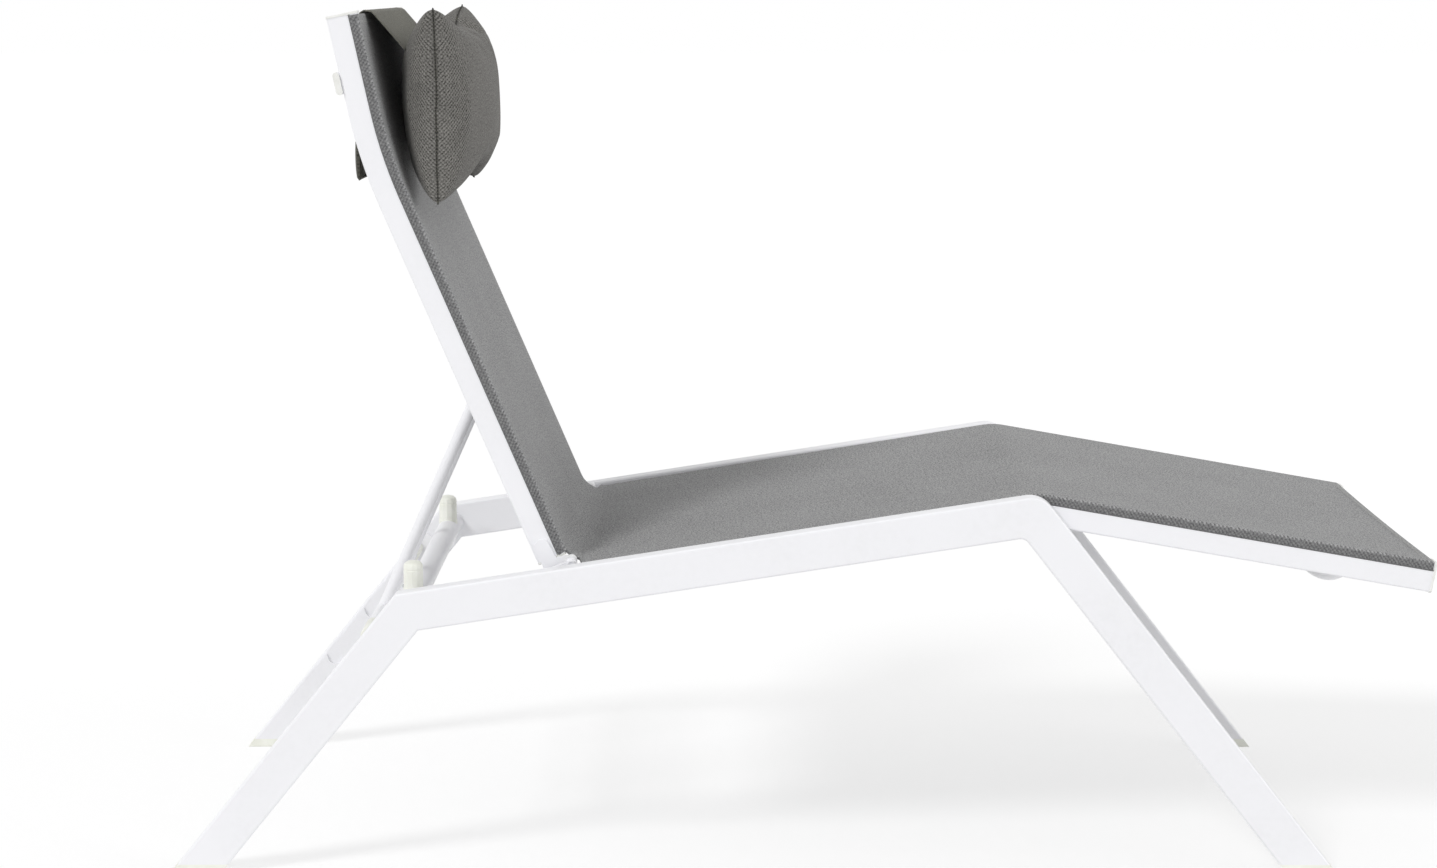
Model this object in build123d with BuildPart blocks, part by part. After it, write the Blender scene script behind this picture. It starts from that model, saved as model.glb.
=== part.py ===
"""Sun lounger with a folding backrest, a prop stay and a counterweighted headrest.

Frame: X runs from the head end to the foot end, Y to the left of the person lying down,
Z up. The origin is on the floor, in the middle of the lounger's length and width.
Every size is in millimetres. The backrest is modelled upright.
"""

from build123d import *
import os
from math import acos, cos, hypot, radians, sin, tan

# Side frames: two mitred A shapes of flat oval-cornered tube
HALF_WIDTH = 304.0
TUBE_DEPTH = 50.0
TUBE_WIDTH = 25.0
TUBE_WALL = 2.0
TUBE_CORNER = 3.0
KNEE_OUTER_BEND = 33.0
KNEE_INNER_BEND = 12.0
REAR_CORNER = (-502.6, 360.0)
KNEE_CORNER = (296.5, 484.2)
REAR_LEAN = 38.96
FRONT_LEAN = 38.1
PLUG_HEIGHT = 12.0
PLUG_STUB = 34.0

# Rails that carry the slings
RAIL_WIDTH = 25.0
RAIL_DEPTH = 38.0
RAIL_CORNER = 2.5
RAIL_WALL = 2.0
BAND = 10.0
CORD_GROOVE = 3.0
CORD_MOUTH = 2.4
CORD_RADIUS = 2.4
SLING = 1.2
CAP_PLATE = 3.0
CAP_LIP = 0.8
CAP_STUB = 14.0

# Seat
SEAT_RAIL_OUTER = 275.0
SEAT_START = -270.0
SEAT_KNEE = (291.3, 482.7)
SEAT_SLOPE = 9.25
SEAT_FOOT_X = 787.3
FOOT_SLOPE = 9.94
KNEE_BEND = 70.0

# Backrest, measured along its rails from the foot of the hinge pin
HINGE = (-287.4, 391.5)
BACK_RAIL_OUTER = 244.0
BACK_LEAN = 23.0
HEAD_LEAN = 12.0
PIN_TO_BACK = 41.4
BACK_START = 12.0
FREE_HALF_WIDTH = 240.0
FREE_MIDDLE = (-282.9, 394.8)
FREE_END = (-293.2, 402.5)
BACK_BEND_AT = 558.8
HEAD_LENGTH = 177.3
BACK_BEND = 600.0

# Hinge hardware
PIN_RADIUS = 4.0
PIN_CLEARANCE = 0.06
PIN_HEAD = 5.5
PIN_END = 241.0
EAR = 4.0
EAR_RADIUS = 7.0
WASHER_RADIUS = 6.5
BRACKET_ARM = 12.0
BRACKET_RADIUS = 7.0
BRACKET_FOOT = (-330.0, -277.5, 350.0, 377.0)

# Stay and its rack
STAY_PIVOT_AT = 244.0
PIVOT_TUBE = 12.5
STAY_LENGTH = 336.6
STAY_ANGLE = 245.8
STAY_HALF_SPAN = 125.0
STAY_TUBE = 7.5
RING_OUTER = 16.5
RING_WIDTH = 24.0
FOOT_BAR = 8.0
FOOT_BAR_END = 274.0
NYLON_END = 10.0
NYLON_END_LENGTH = 60.0
RACK_PLATE = 4.0
RACK_NOTCHES = (300.0, 216.0, 147.0)

# Cross members
CROSS_TUBE = 15.0
SEAT_CROSS_TUBE = 12.5
BUMPER_RADIUS = 13.0
BUMPER_TOP = 386.5
BUMPER_AT = 224.0
BOW_TUBE = 10.0
BOW_DROP = 56.0
BOW_X = 692.0

# Headrest
PILLOW_CENTRE = (-452.9, 957.0)
STRAP_HALF_WIDTH = 175.0
STRAP = 2.0
STRAP_END = (-494.5, 1015.5)
FLAP_X = (-559.2, -549.2)
FLAP_Z = (862.0, 932.0)
FLAP_HALF_WIDTH = 170.0
WEIGHT_BAR = (5.0, 48.0, 320.0)


def side_plane(y):
    """Upright plane across the lounger at y, drawn in X and Z, facing the right-hand side."""
    return Plane(origin=(0, y, 0), x_dir=(1, 0, 0), z_dir=(0, -1, 0))


def along(point, direction, distance):
    return (point[0] + direction[0] * distance, point[1] + direction[1] * distance)


def meet(p, u, q, v):
    """Where the line through p along u crosses the line through q along v."""
    cross = u[0] * v[1] - u[1] * v[0]
    t = ((q[0] - p[0]) * v[1] - (q[1] - p[1]) * v[0]) / cross
    return along(p, u, t)


def unit(p, q):
    length = hypot(q[0] - p[0], q[1] - p[1])
    return ((q[0] - p[0]) / length, (q[1] - p[1]) / length)


def save(part, label):
    part.label = label
    export_step(part, f"parts/{label}.step")


os.makedirs("parts", exist_ok=True)


FLOOR_LINE = (1.0, 0.0)
rear_dir = (sin(radians(REAR_LEAN)), cos(radians(REAR_LEAN)))
rail_dir = unit(REAR_CORNER, KNEE_CORNER)
front_dir = (sin(radians(FRONT_LEAN)), -cos(radians(FRONT_LEAN)))
rear_in = (rear_dir[1], -rear_dir[0])
rail_in = (rail_dir[1], -rail_dir[0])
front_in = (front_dir[1], -front_dir[0])


def frame_outline(inset, bottom):
    """Corner points of the three mitred tubes, drawn in by inset, cut off level at bottom."""
    deep = TUBE_DEPTH - inset
    rear_corner = meet(along(REAR_CORNER, rear_in, inset), rear_dir,
                       along(REAR_CORNER, rail_in, inset), rail_dir)
    knee_corner = meet(along(KNEE_CORNER, rail_in, inset), rail_dir,
                       along(KNEE_CORNER, front_in, inset), front_dir)
    rear_inner = meet(along(REAR_CORNER, rear_in, deep), rear_dir,
                      along(REAR_CORNER, rail_in, deep), rail_dir)
    knee_inner = meet(along(KNEE_CORNER, rail_in, deep), rail_dir,
                      along(KNEE_CORNER, front_in, deep), front_dir)
    level = (0.0, bottom)
    rear_out = meet(rear_corner, rear_dir, level, FLOOR_LINE)
    rear_low = meet(rear_inner, rear_dir, level, FLOOR_LINE)
    front_out = meet(knee_corner, front_dir, level, FLOOR_LINE)
    front_low = meet(knee_inner, front_dir, level, FLOOR_LINE)
    return {
        "rear_leg": (rear_out, rear_corner, rear_inner, rear_low),
        "side_rail": (rear_corner, knee_corner, knee_inner, rear_inner),
        "front_leg": (knee_corner, front_out, front_low, knee_inner),
    }


OUTER = frame_outline(0.0, PLUG_HEIGHT)
BORE = frame_outline(TUBE_WALL, PLUG_HEIGHT - 5.0)
FRAME_DIRECTIONS = {"rear_leg": rear_dir, "side_rail": rail_dir, "front_leg": front_dir}
FRAME_MIDDLE = HALF_WIDTH - TUBE_WIDTH / 2
FRAME_INNER = HALF_WIDTH - TUBE_WIDTH


# Seat rail centre line: up from the hinge to the knee, then down to the foot end
seat_dir = (cos(radians(SEAT_SLOPE)), sin(radians(SEAT_SLOPE)))
seat_in = (seat_dir[1], -seat_dir[0])
foot_dir = (cos(radians(FOOT_SLOPE)), -sin(radians(FOOT_SLOPE)))
foot_in = (foot_dir[1], -foot_dir[0])
SEAT_MIDDLE = SEAT_RAIL_OUTER - RAIL_WIDTH / 2
seat_half = RAIL_DEPTH / 2 + SLING
SEAT_KNEE_MIDDLE = meet(along(SEAT_KNEE, seat_in, seat_half), seat_dir,
                        along(SEAT_KNEE, foot_in, seat_half), foot_dir)
SEAT_TAIL = meet(SEAT_KNEE_MIDDLE, seat_dir, (SEAT_START, 0.0), (0.0, 1.0))
SEAT_TIP = meet(SEAT_KNEE_MIDDLE, foot_dir, (SEAT_FOOT_X, 0.0), (0.0, 1.0))

# Backrest: s runs up the rails from the foot of the hinge pin, depth forward from their back
back_dir = (-sin(radians(BACK_LEAN)), cos(radians(BACK_LEAN)))
head_dir = (-sin(radians(HEAD_LEAN)), cos(radians(HEAD_LEAN)))
back_out = (back_dir[1], -back_dir[0])
head_out = (head_dir[1], -head_dir[0])
BACK_FOOT = along(HINGE, back_out, -PIN_TO_BACK)
BACK_KNEE = along(BACK_FOOT, back_dir, BACK_BEND_AT)


def on_back(s, depth):
    """A point on the lower, straight part of the backrest."""
    return along(along(BACK_FOOT, back_dir, s), back_out, depth)


def on_head(s, depth):
    """A point on the upper part of the backrest, s measured up from the bend."""
    return along(along(BACK_KNEE, head_dir, s), head_out, depth)


BACK_MIDDLE = BACK_RAIL_OUTER - RAIL_WIDTH / 2
BACK_RAIL_INNER = BACK_RAIL_OUTER - RAIL_WIDTH
BACK_KNEE_MIDDLE = meet(on_back(0, RAIL_DEPTH / 2), back_dir, on_head(0, RAIL_DEPTH / 2), head_dir)
BACK_LOW = on_back(BACK_START, RAIL_DEPTH / 2)
BACK_HIGH = on_head(HEAD_LENGTH, RAIL_DEPTH / 2)
STAY_PIVOT = on_back(STAY_PIVOT_AT, RAIL_DEPTH / 2)
stay_dir = (cos(radians(STAY_ANGLE)), sin(radians(STAY_ANGLE)))
STAY_FOOT = along(STAY_PIVOT, stay_dir, STAY_LENGTH)


def cut_across(radius, points, y_low, y_high):
    """Round holes across the lounger, from y_low to y_high, at each point."""
    with BuildSketch(side_plane(y_high)) as circles:
        with Locations(*points):
            Circle(radius)
    extrude(circles.sketch, amount=y_high - y_low, mode=Mode.SUBTRACT)


def solid_across(outline, y_low, y_high):
    """A closed outline in X and Z, carried across from y_low to y_high."""
    with BuildSketch(side_plane(y_high)) as face:
        with BuildLine():
            Polyline(*outline, close=True)
        make_face()
    extrude(face.sketch, amount=y_high - y_low)


def span(side, inner, outer):
    """The lower and higher y of a stretch that lies between inner and outer on one side."""
    return min(side * inner, side * outer), max(side * inner, side * outer)


SIDES = {"right": -1, "left": 1}
seat_bolt_line = along(SEAT_KNEE_MIDDLE, seat_in, 8.0)
SEAT_BOLTS = [along(seat_bolt_line, seat_dir, -distance) for distance in (450.0, 245.0, 45.0)]
SEAT_BOLT = 4.0
SEAT_BOLT_HEAD = 7.0
SEAT_BOLT_HEAD_HEIGHT = 4.0
BRACKET_BOLTS = [(-319.0, 362.0), (-285.0, 362.0)]
BRACKET_BOLT = 3.0
BRACKET_BOLT_HEAD = 5.2
RACK_BOLT = 2.5
RACK_BOLT_HEAD = 4.5
BOLT_REACH = 5.0


def rack_point(z, inset):
    """A point inset from the rear leg's upper edge, level with z."""
    edge = meet(REAR_CORNER, rear_dir, (0.0, z), FLOOR_LINE)
    return along(edge, rear_in, inset)


RACK_BOLTS = [rack_point(z, 31.0) for z in (262.0, 178.0)]


def half_bend(corner, direction, radius):
    """Half of the arc that rounds the knee at corner, for the tube that runs along direction: the
    point where the arc leaves the tube's edge, a point on it, and its middle on the mitre."""
    half_turn = acos(rail_dir[0] * front_dir[0] + rail_dir[1] * front_dir[1]) / 2
    start = along(corner, direction, radius * tan(half_turn))
    inward = rail_in if direction[0] < 0 else front_in
    centre = along(start, inward, radius)
    points = []
    for share in (0.0, 0.5, 1.0):
        toward_mitre = share * half_turn
        out = (-inward[0] * cos(toward_mitre) - direction[0] * sin(toward_mitre),
               -inward[1] * cos(toward_mitre) - direction[1] * sin(toward_mitre))
        points.append(along(centre, out, radius))
    return points


def frame_face(tube_name, outline, inset):
    """A frame tube's outline drawn in by inset, with the knee rounded outside and inside."""
    if tube_name == "rear_leg":
        Polyline(*outline, close=True)
        return
    if tube_name == "side_rail":
        far_out, knee_out, knee_in, far_in = outline
        direction = (-rail_dir[0], -rail_dir[1])
    else:
        knee_out, far_out, far_in, knee_in = outline
        direction = front_dir
    outer = half_bend(knee_out, direction, KNEE_OUTER_BEND - inset)
    inner = half_bend(knee_in, direction, KNEE_INNER_BEND + inset)
    Line(far_out, outer[0])
    ThreePointArc(*outer)
    Line(outer[2], inner[2])
    ThreePointArc(inner[2], inner[1], inner[0])
    Line(inner[0], far_in)
    Line(far_in, far_out)


# Side frames
for side_name, side in SIDES.items():
    for tube_name, outline in OUTER.items():
        direction = FRAME_DIRECTIONS[tube_name]
        middle = side * FRAME_MIDDLE
        with BuildPart() as tube:
            with BuildSketch(side_plane(middle + TUBE_WIDTH / 2)):
                with BuildLine():
                    frame_face(tube_name, outline, 0.0)
                make_face()
            extrude(amount=TUBE_WIDTH)
            long_edges = tube.edges().filter_by(Axis((0, 0, 0), (direction[0], 0, direction[1])))
            bent_edges = tube.edges().filter_by(GeomType.CIRCLE)
            fillet(long_edges + bent_edges, radius=TUBE_CORNER)
            bore_half = TUBE_WIDTH / 2 - TUBE_WALL
            with BuildSketch(side_plane(middle + bore_half)):
                with BuildLine():
                    frame_face(tube_name, BORE[tube_name], TUBE_WALL)
                make_face()
            extrude(amount=2 * bore_half, mode=Mode.SUBTRACT)
            wall = span(side, FRAME_INNER - 1, FRAME_INNER + BOLT_REACH)
            if tube_name == "side_rail":
                cut_across(SEAT_BOLT, SEAT_BOLTS, *wall)
                cut_across(BRACKET_BOLT, BRACKET_BOLTS, *wall)
            if tube_name == "rear_leg":
                cut_across(RACK_BOLT, RACK_BOLTS, *wall)
        save(tube.part, f"{tube_name}_{side_name}")

# Foot plugs: the leg's own outline down to the floor, with a stub up the bore
for side_name, side in SIDES.items():
    middle = side * FRAME_MIDDLE
    for leg in ("rear_leg", "front_leg"):
        direction = FRAME_DIRECTIONS[leg]
        floor = frame_outline(0.0, 0.0)[leg]
        low = [p for p in floor if p[1] < 1.0]
        high = [p for p in OUTER[leg] if abs(p[1] - PLUG_HEIGHT) < 1.0]
        stub = frame_outline(TUBE_WALL + 0.2, PLUG_HEIGHT)[leg]
        stub_low = [p for p in stub if abs(p[1] - PLUG_HEIGHT) < 1.0]
        up = direction if direction[1] > 0 else (-direction[0], -direction[1])
        with BuildPart() as plug:
            solid_across([low[0], low[1], high[1], high[0]],
                         middle - TUBE_WIDTH / 2, middle + TUBE_WIDTH / 2)
            fillet(plug.edges().group_by(Axis.Z)[0].filter_by(Axis.X), radius=1.5)
            stub_half = TUBE_WIDTH / 2 - TUBE_WALL - 0.2
            solid_across([stub_low[0], stub_low[1], along(stub_low[1], up, PLUG_STUB),
                          along(stub_low[0], up, PLUG_STUB)],
                         middle - stub_half, middle + stub_half)
        save(plug.part, f"foot_plug_{leg.split('_')[0]}_{side_name}")


def rail_section(outer):
    """Extruded rail: a box below, and a round cord groove that opens on the outer face."""
    groove_y = RAIL_DEPTH / 2 - BAND
    RectangleRounded(RAIL_WIDTH, RAIL_DEPTH, RAIL_CORNER)
    cavity = RAIL_DEPTH / 2 - RAIL_WALL
    with Locations((0, -cavity / 2)):
        Rectangle(RAIL_WIDTH - 2 * RAIL_WALL, cavity, mode=Mode.SUBTRACT)
    with Locations((-outer * 4.0, cavity / 2 + 1.0)):
        Rectangle(RAIL_WIDTH - 2 * RAIL_WALL - 8.0, cavity - 2.0, mode=Mode.SUBTRACT)
    with Locations((outer * (RAIL_WIDTH / 2 - CORD_GROOVE - 1.6), groove_y)):
        Circle(CORD_GROOVE, mode=Mode.SUBTRACT)
    with Locations((outer * (RAIL_WIDTH / 2 - 1.5), groove_y)):
        Rectangle(3.4, CORD_MOUTH, mode=Mode.SUBTRACT)


def start_plane(y, start, toward, across):
    """Plane at a rail's lower end, square to it; across is +1 or -1 for its x along Y."""
    direction = unit(start, toward)
    return Plane(origin=(start[0], y, start[1]), x_dir=(0, across, 0),
                 z_dir=(direction[0], 0, direction[1]))


def rail_path(y, points, bend):
    with BuildLine(side_plane(y)) as path:
        FilletPolyline(*points, radius=bend)
    return path.line


SEAT_PATH = (SEAT_TAIL, SEAT_KNEE_MIDDLE, SEAT_TIP)
BACK_PATH = (BACK_LOW, BACK_KNEE_MIDDLE, BACK_HIGH)

# Seat rails, bent at the knee
for side_name, side in SIDES.items():
    middle = side * SEAT_MIDDLE
    with BuildPart() as rail:
        with BuildSketch(start_plane(middle, SEAT_TAIL, SEAT_KNEE_MIDDLE, 1)):
            rail_section(side)
        sweep(path=rail_path(middle, SEAT_PATH, KNEE_BEND))
        cut_across(SEAT_BOLT, SEAT_BOLTS, *span(side, SEAT_RAIL_OUTER - 30, SEAT_RAIL_OUTER + 1))
    save(rail.part, f"seat_rail_{side_name}")

# Backrest rails, bent forward at the shoulders
for side_name, side in SIDES.items():
    middle = side * BACK_MIDDLE
    with BuildPart() as rail:
        with BuildSketch(start_plane(middle, BACK_LOW, BACK_KNEE_MIDDLE, -1)):
            rail_section(-side)
        sweep(path=rail_path(middle, BACK_PATH, BACK_BEND))
    save(rail.part, f"back_rail_{side_name}")


def end_cap(y, end, inside, across, lip):
    """A thin plate over the rail's end, larger by lip all round, with a stub in the rail's box."""
    outward = unit(inside, end)
    plane = Plane(origin=(end[0], y, end[1]), x_dir=(0, across, 0), z_dir=(outward[0], 0, outward[1]))
    cavity = RAIL_DEPTH / 2 - RAIL_WALL
    with BuildPart() as cap:
        with BuildSketch(plane):
            RectangleRounded(RAIL_WIDTH + 2 * lip, RAIL_DEPTH + 2 * lip, RAIL_CORNER + lip)
        extrude(amount=CAP_PLATE)
        fillet(cap.faces().sort_by(Axis((0, 0, 0), (outward[0], 0, outward[1])))[-1].edges(), radius=1.0)
        with BuildSketch(plane):
            with Locations((0, -cavity / 2)):
                Rectangle(RAIL_WIDTH - 2 * RAIL_WALL - 0.4, cavity - 0.4)
        extrude(amount=-CAP_STUB)
    return cap.part


for side_name, side in SIDES.items():
    save(end_cap(side * SEAT_MIDDLE, SEAT_TIP, SEAT_KNEE_MIDDLE, 1, CAP_LIP), f"seat_end_cap_{side_name}")
    save(end_cap(side * BACK_MIDDLE, BACK_HIGH, BACK_KNEE_MIDDLE, -1, CAP_LIP), f"back_top_cap_{side_name}")
with BuildPart() as tail_caps:
    for side in SIDES.values():
        add(end_cap(side * SEAT_MIDDLE, SEAT_TAIL, SEAT_KNEE_MIDDLE, -1, 0.0))
save(tail_caps.part, "seat_tail_caps")
with BuildPart() as low_caps:
    for side in SIDES.values():
        add(end_cap(side * BACK_MIDDLE, BACK_LOW, BACK_KNEE_MIDDLE, 1, 0.0))
save(low_caps.part, "back_low_caps")

SLING_GAP = 1.5


def sling(plane, outer, points, bend, label, free_line=()):
    """Sheet over both rails, wrapped down their outer faces and tucked into the grooves. Past the
    rails' ends it can go on, free of them, as a curve through the points of free_line."""
    top = RAIL_DEPTH / 2
    with BuildPart() as sheet:
        with BuildSketch(plane):
            with Locations((0, top + SLING / 2)):
                Rectangle(2 * (outer + SLING), SLING)
            for side in (-1, 1):
                with Locations((side * (outer + SLING / 2), top - BAND / 2)):
                    Rectangle(SLING, BAND + SLING)
                with Locations((side * (outer - 0.6), top - BAND)):
                    Rectangle(2.4, SLING)
        sweep(path=rail_path(0.0, points, bend))
        if free_line:
            with BuildSketch(side_plane(FREE_HALF_WIDTH)) as edge:
                with BuildLine():
                    Line(free_line[0], free_line[1])
                    ThreePointArc(*free_line[1:])
                trace(line_width=SLING)
            extrude(edge.sketch, amount=2 * FREE_HALF_WIDTH)
    save(sheet.part, label)


seat_sling_path = (along(SEAT_TAIL, seat_dir, SLING_GAP), SEAT_KNEE_MIDDLE,
                   along(SEAT_TIP, foot_dir, -SLING_GAP))
back_sling_path = (along(BACK_LOW, back_dir, SLING_GAP), BACK_KNEE_MIDDLE,
                   along(BACK_HIGH, head_dir, -SLING_GAP))
sling_line = along(seat_sling_path[0], seat_in, -RAIL_DEPTH / 2 - SLING / 2)
free_line = [along(sling_line, seat_dir, 4.0), sling_line, FREE_MIDDLE, FREE_END]
sling(start_plane(0.0, seat_sling_path[0], SEAT_KNEE_MIDDLE, 1), SEAT_RAIL_OUTER,
      seat_sling_path, KNEE_BEND, "seat_sling", free_line)
sling(start_plane(0.0, back_sling_path[0], BACK_KNEE_MIDDLE, -1), BACK_RAIL_OUTER,
      back_sling_path, BACK_BEND, "back_sling")

# Cross members between the two side frames
REAR_CROSS = ((OUTER["rear_leg"][1][0] + OUTER["rear_leg"][2][0]) / 2,
              (OUTER["rear_leg"][1][1] + OUTER["rear_leg"][2][1]) / 2)
knee_middle = ((OUTER["front_leg"][0][0] + OUTER["front_leg"][3][0]) / 2,
               (OUTER["front_leg"][0][1] + OUTER["front_leg"][3][1]) / 2)
FRONT_CROSS = along(knee_middle, front_dir, 70.0)
SEAT_CROSS = along(along(SEAT_KNEE_MIDDLE, seat_dir, -500.0), seat_in, 4.0)


def cross_tube(point, radius, wall, half_span, label):
    with BuildPart() as tube:
        with BuildSketch(side_plane(half_span)):
            with Locations(point):
                Circle(radius)
                Circle(radius - wall, mode=Mode.SUBTRACT)
        extrude(amount=2 * half_span)
    save(tube.part, label)


cross_tube(REAR_CROSS, CROSS_TUBE, TUBE_WALL, FRAME_INNER, "rear_cross_tube")
cross_tube(FRONT_CROSS, CROSS_TUBE, TUBE_WALL, FRAME_INNER, "front_cross_tube")
cross_tube(SEAT_CROSS, SEAT_CROSS_TUBE, TUBE_WALL, SEAT_RAIL_OUTER - RAIL_WIDTH, "seat_cross_tube")
cross_tube(STAY_PIVOT, PIVOT_TUBE, TUBE_WALL, BACK_RAIL_INNER, "back_pivot_tube")
cross_tube(on_back(36.0, 18.0), 11.0, TUBE_WALL, BACK_RAIL_INNER, "back_low_tube")

# Bow that spreads the seat rails near the foot end, bent down clear of the sling
bow_end = meet(SEAT_KNEE_MIDDLE, foot_dir, (BOW_X, 0.0), (0.0, 1.0))[1]
bow_half = SEAT_RAIL_OUTER - RAIL_WIDTH
with BuildPart() as bow:
    with BuildLine(Plane(origin=(BOW_X, 0, 0), x_dir=(0, 1, 0), z_dir=(1, 0, 0))) as bow_line:
        ThreePointArc((-bow_half, bow_end), (0.0, bow_end - BOW_DROP), (bow_half, bow_end))
    bow_path = bow_line.line
    with BuildSketch(Plane(origin=bow_path @ 0, z_dir=bow_path % 0)):
        Circle(BOW_TUBE)
        Circle(BOW_TUBE - TUBE_WALL, mode=Mode.SUBTRACT)
    sweep(path=bow_path)
    for side in (-1, 1):
        with BuildSketch(Plane.XZ.offset(-side * bow_half)):
            with Locations((BOW_X, bow_end)):
                Rectangle(60.0, 60.0)
        extrude(amount=-side * 20.0, mode=Mode.SUBTRACT)
save(bow.part, "foot_spreader_bow")

# Bumpers on the rear cross tube, which stop the backrest when it lies flat
for side_name, side in SIDES.items():
    with BuildPart() as bumper:
        with BuildSketch(Plane.XY.offset(REAR_CROSS[1] + 4.0)):
            with Locations((REAR_CROSS[0], side * BUMPER_AT)):
                Circle(BUMPER_RADIUS)
        extrude(amount=BUMPER_TOP - REAR_CROSS[1] - 4.0)
        fillet(bumper.faces().sort_by(Axis.Z)[-1].edges(), radius=5.0)
        cut_across(CROSS_TUBE, [REAR_CROSS], side * BUMPER_AT - 20, side * BUMPER_AT + 20)
    save(bumper.part, f"bumper_{side_name}")

# Hinge brackets on the side rails
for side_name, side in SIDES.items():
    arm = span(side, 252.0, 252.0 + BRACKET_ARM)
    foot = span(side, 252.0, FRAME_INNER)
    x0, x1, z0, z1 = BRACKET_FOOT
    with BuildPart() as bracket:
        with BuildSketch(side_plane(arm[1])):
            with BuildLine():
                Polyline((x0, z1 - 1), (x1, z1 - 1), (HINGE[0] + BRACKET_RADIUS, HINGE[1]),
                         (HINGE[0] - BRACKET_RADIUS, HINGE[1]), close=True)
            make_face()
            with Locations(HINGE):
                Circle(BRACKET_RADIUS)
        extrude(amount=BRACKET_ARM)
        solid_across([(x0, z0), (x1, z0), (x1, z1), (x0, z1)], *foot)
        cut_across(PIN_RADIUS, [HINGE], arm[0], arm[1])
        cut_across(BRACKET_BOLT, BRACKET_BOLTS, *foot)
    save(bracket.part, f"hinge_bracket_{side_name}")


def repeated(rows, label):
    """Turned pieces that share a node: each row is a side, a point, a radius and two distances."""
    with BuildPart() as pieces:
        for side, point, radius, inner, outer in rows:
            low, high = span(side, inner, outer)
            with BuildSketch(side_plane(high)):
                with Locations(point):
                    Circle(radius)
            extrude(amount=high - low)
    save(pieces.part, label)


both = list(SIDES.values())
wall_end = FRAME_INNER + BOLT_REACH
repeated([(side, point, BRACKET_BOLT, 252.0, wall_end) for side in both for point in BRACKET_BOLTS]
         + [(side, point, BRACKET_BOLT_HEAD, 249.4, 252.0) for side in both for point in BRACKET_BOLTS],
         "hinge_bracket_bolts")
repeated([(side, HINGE, PIN_RADIUS, PIN_END, 264.0) for side in both]
         + [(side, HINGE, PIN_HEAD, 264.0, 268.0) for side in both], "hinge_pins")

with BuildPart() as washers:
    for side in both:
        low, high = span(side, 248.1, 252.0)
        with BuildSketch(side_plane(high)):
            with Locations(HINGE):
                Circle(WASHER_RADIUS)
                Circle(PIN_RADIUS, mode=Mode.SUBTRACT)
        extrude(amount=high - low)
save(washers.part, "hinge_washers")

with BuildPart() as nuts:
    for side in both:
        low, high = span(side, PIN_END, 243.8)
        with BuildSketch(side_plane(high)):
            with Locations(HINGE):
                RegularPolygon(6.0, 6)
                Circle(PIN_RADIUS, mode=Mode.SUBTRACT)
        extrude(amount=high - low)
save(nuts.part, "hinge_nuts")

# Bolts and spacers that hold the seat rails inside the side frames
inner_face = SEAT_RAIL_OUTER - RAIL_WIDTH
repeated([(side, point, SEAT_BOLT, inner_face, wall_end) for side in both for point in SEAT_BOLTS]
         + [(side, point, SEAT_BOLT_HEAD, inner_face - 3.0, inner_face)
            for side in both for point in SEAT_BOLTS], "seat_bolts")
with BuildPart() as spacers:
    for side in both:
        low, high = span(side, SEAT_RAIL_OUTER, FRAME_INNER)
        with BuildSketch(side_plane(high)):
            with Locations(*SEAT_BOLTS):
                Circle(9.0)
                Circle(SEAT_BOLT, mode=Mode.SUBTRACT)
        extrude(amount=high - low)
save(spacers.part, "seat_spacers")

# Ears welded to the backrest rails, which turn on the pins
def back_points(pairs):
    return [on_back(s, depth) for s, depth in pairs]


for side_name, side in SIDES.items():
    low, high = span(side, BACK_RAIL_OUTER, BACK_RAIL_OUTER + EAR)
    with BuildPart() as ear:
        solid_across(back_points([(-EAR_RADIUS, PIN_TO_BACK), (EAR_RADIUS, PIN_TO_BACK), (10.5, 25.0),
                                  (36.0, 23.0), (40.0, 14.0), (36.0, 5.0), (4.0, 5.0), (-6.0, 16.0)]),
                     low, high)
        with BuildSketch(side_plane(high)):
            with Locations(HINGE):
                Circle(EAR_RADIUS)
        extrude(amount=EAR)
        cut_across(PIN_RADIUS + PIN_CLEARANCE, [HINGE], low, high)
    save(ear.part, f"hinge_ear_{side_name}")

# Flat cross tube on the backs of the rails, under the top edge
top_tube_s = (986.0 - BACK_KNEE[1]) / head_dir[1]
top_plane = Plane(origin=(on_head(top_tube_s, 0)[0], BACK_RAIL_OUTER, on_head(top_tube_s, 0)[1]),
                  x_dir=(head_dir[0], 0, head_dir[1]), z_dir=(0, -1, 0))
with BuildPart() as top_tube:
    with BuildSketch(top_plane):
        with Locations((0, 4.0)):
            SlotOverall(28.0, 8.0)
            SlotOverall(25.0, 5.0, mode=Mode.SUBTRACT)
    extrude(amount=2 * BACK_RAIL_OUTER)
save(top_tube.part, "back_top_tube")
with BuildPart() as top_caps:
    for offset in (-3.0, 2 * BACK_RAIL_OUTER):
        with BuildSketch(top_plane.offset(offset)):
            with Locations((0, 4.0)):
                SlotOverall(28.0, 8.0)
        extrude(amount=3.0)
save(top_caps.part, "back_top_tube_caps")

# Nylon cords in the grooves, which hold the slings in the rails
groove_in = RAIL_WIDTH / 2 - CORD_GROOVE - 1.6
for name, path_points, bend, middle, across in (
        ("seat_cords", SEAT_PATH, KNEE_BEND, SEAT_MIDDLE, 1),
        ("back_cords", BACK_PATH, BACK_BEND, BACK_MIDDLE, -1)):
    with BuildPart() as cords:
        for side in both:
            with BuildSketch(start_plane(side * middle, path_points[0], path_points[1], across)):
                with Locations((across * side * groove_in, RAIL_DEPTH / 2 - BAND)):
                    Circle(CORD_RADIUS)
            sweep(path=rail_path(side * middle, path_points, bend))
    save(cords.part, name)

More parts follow.
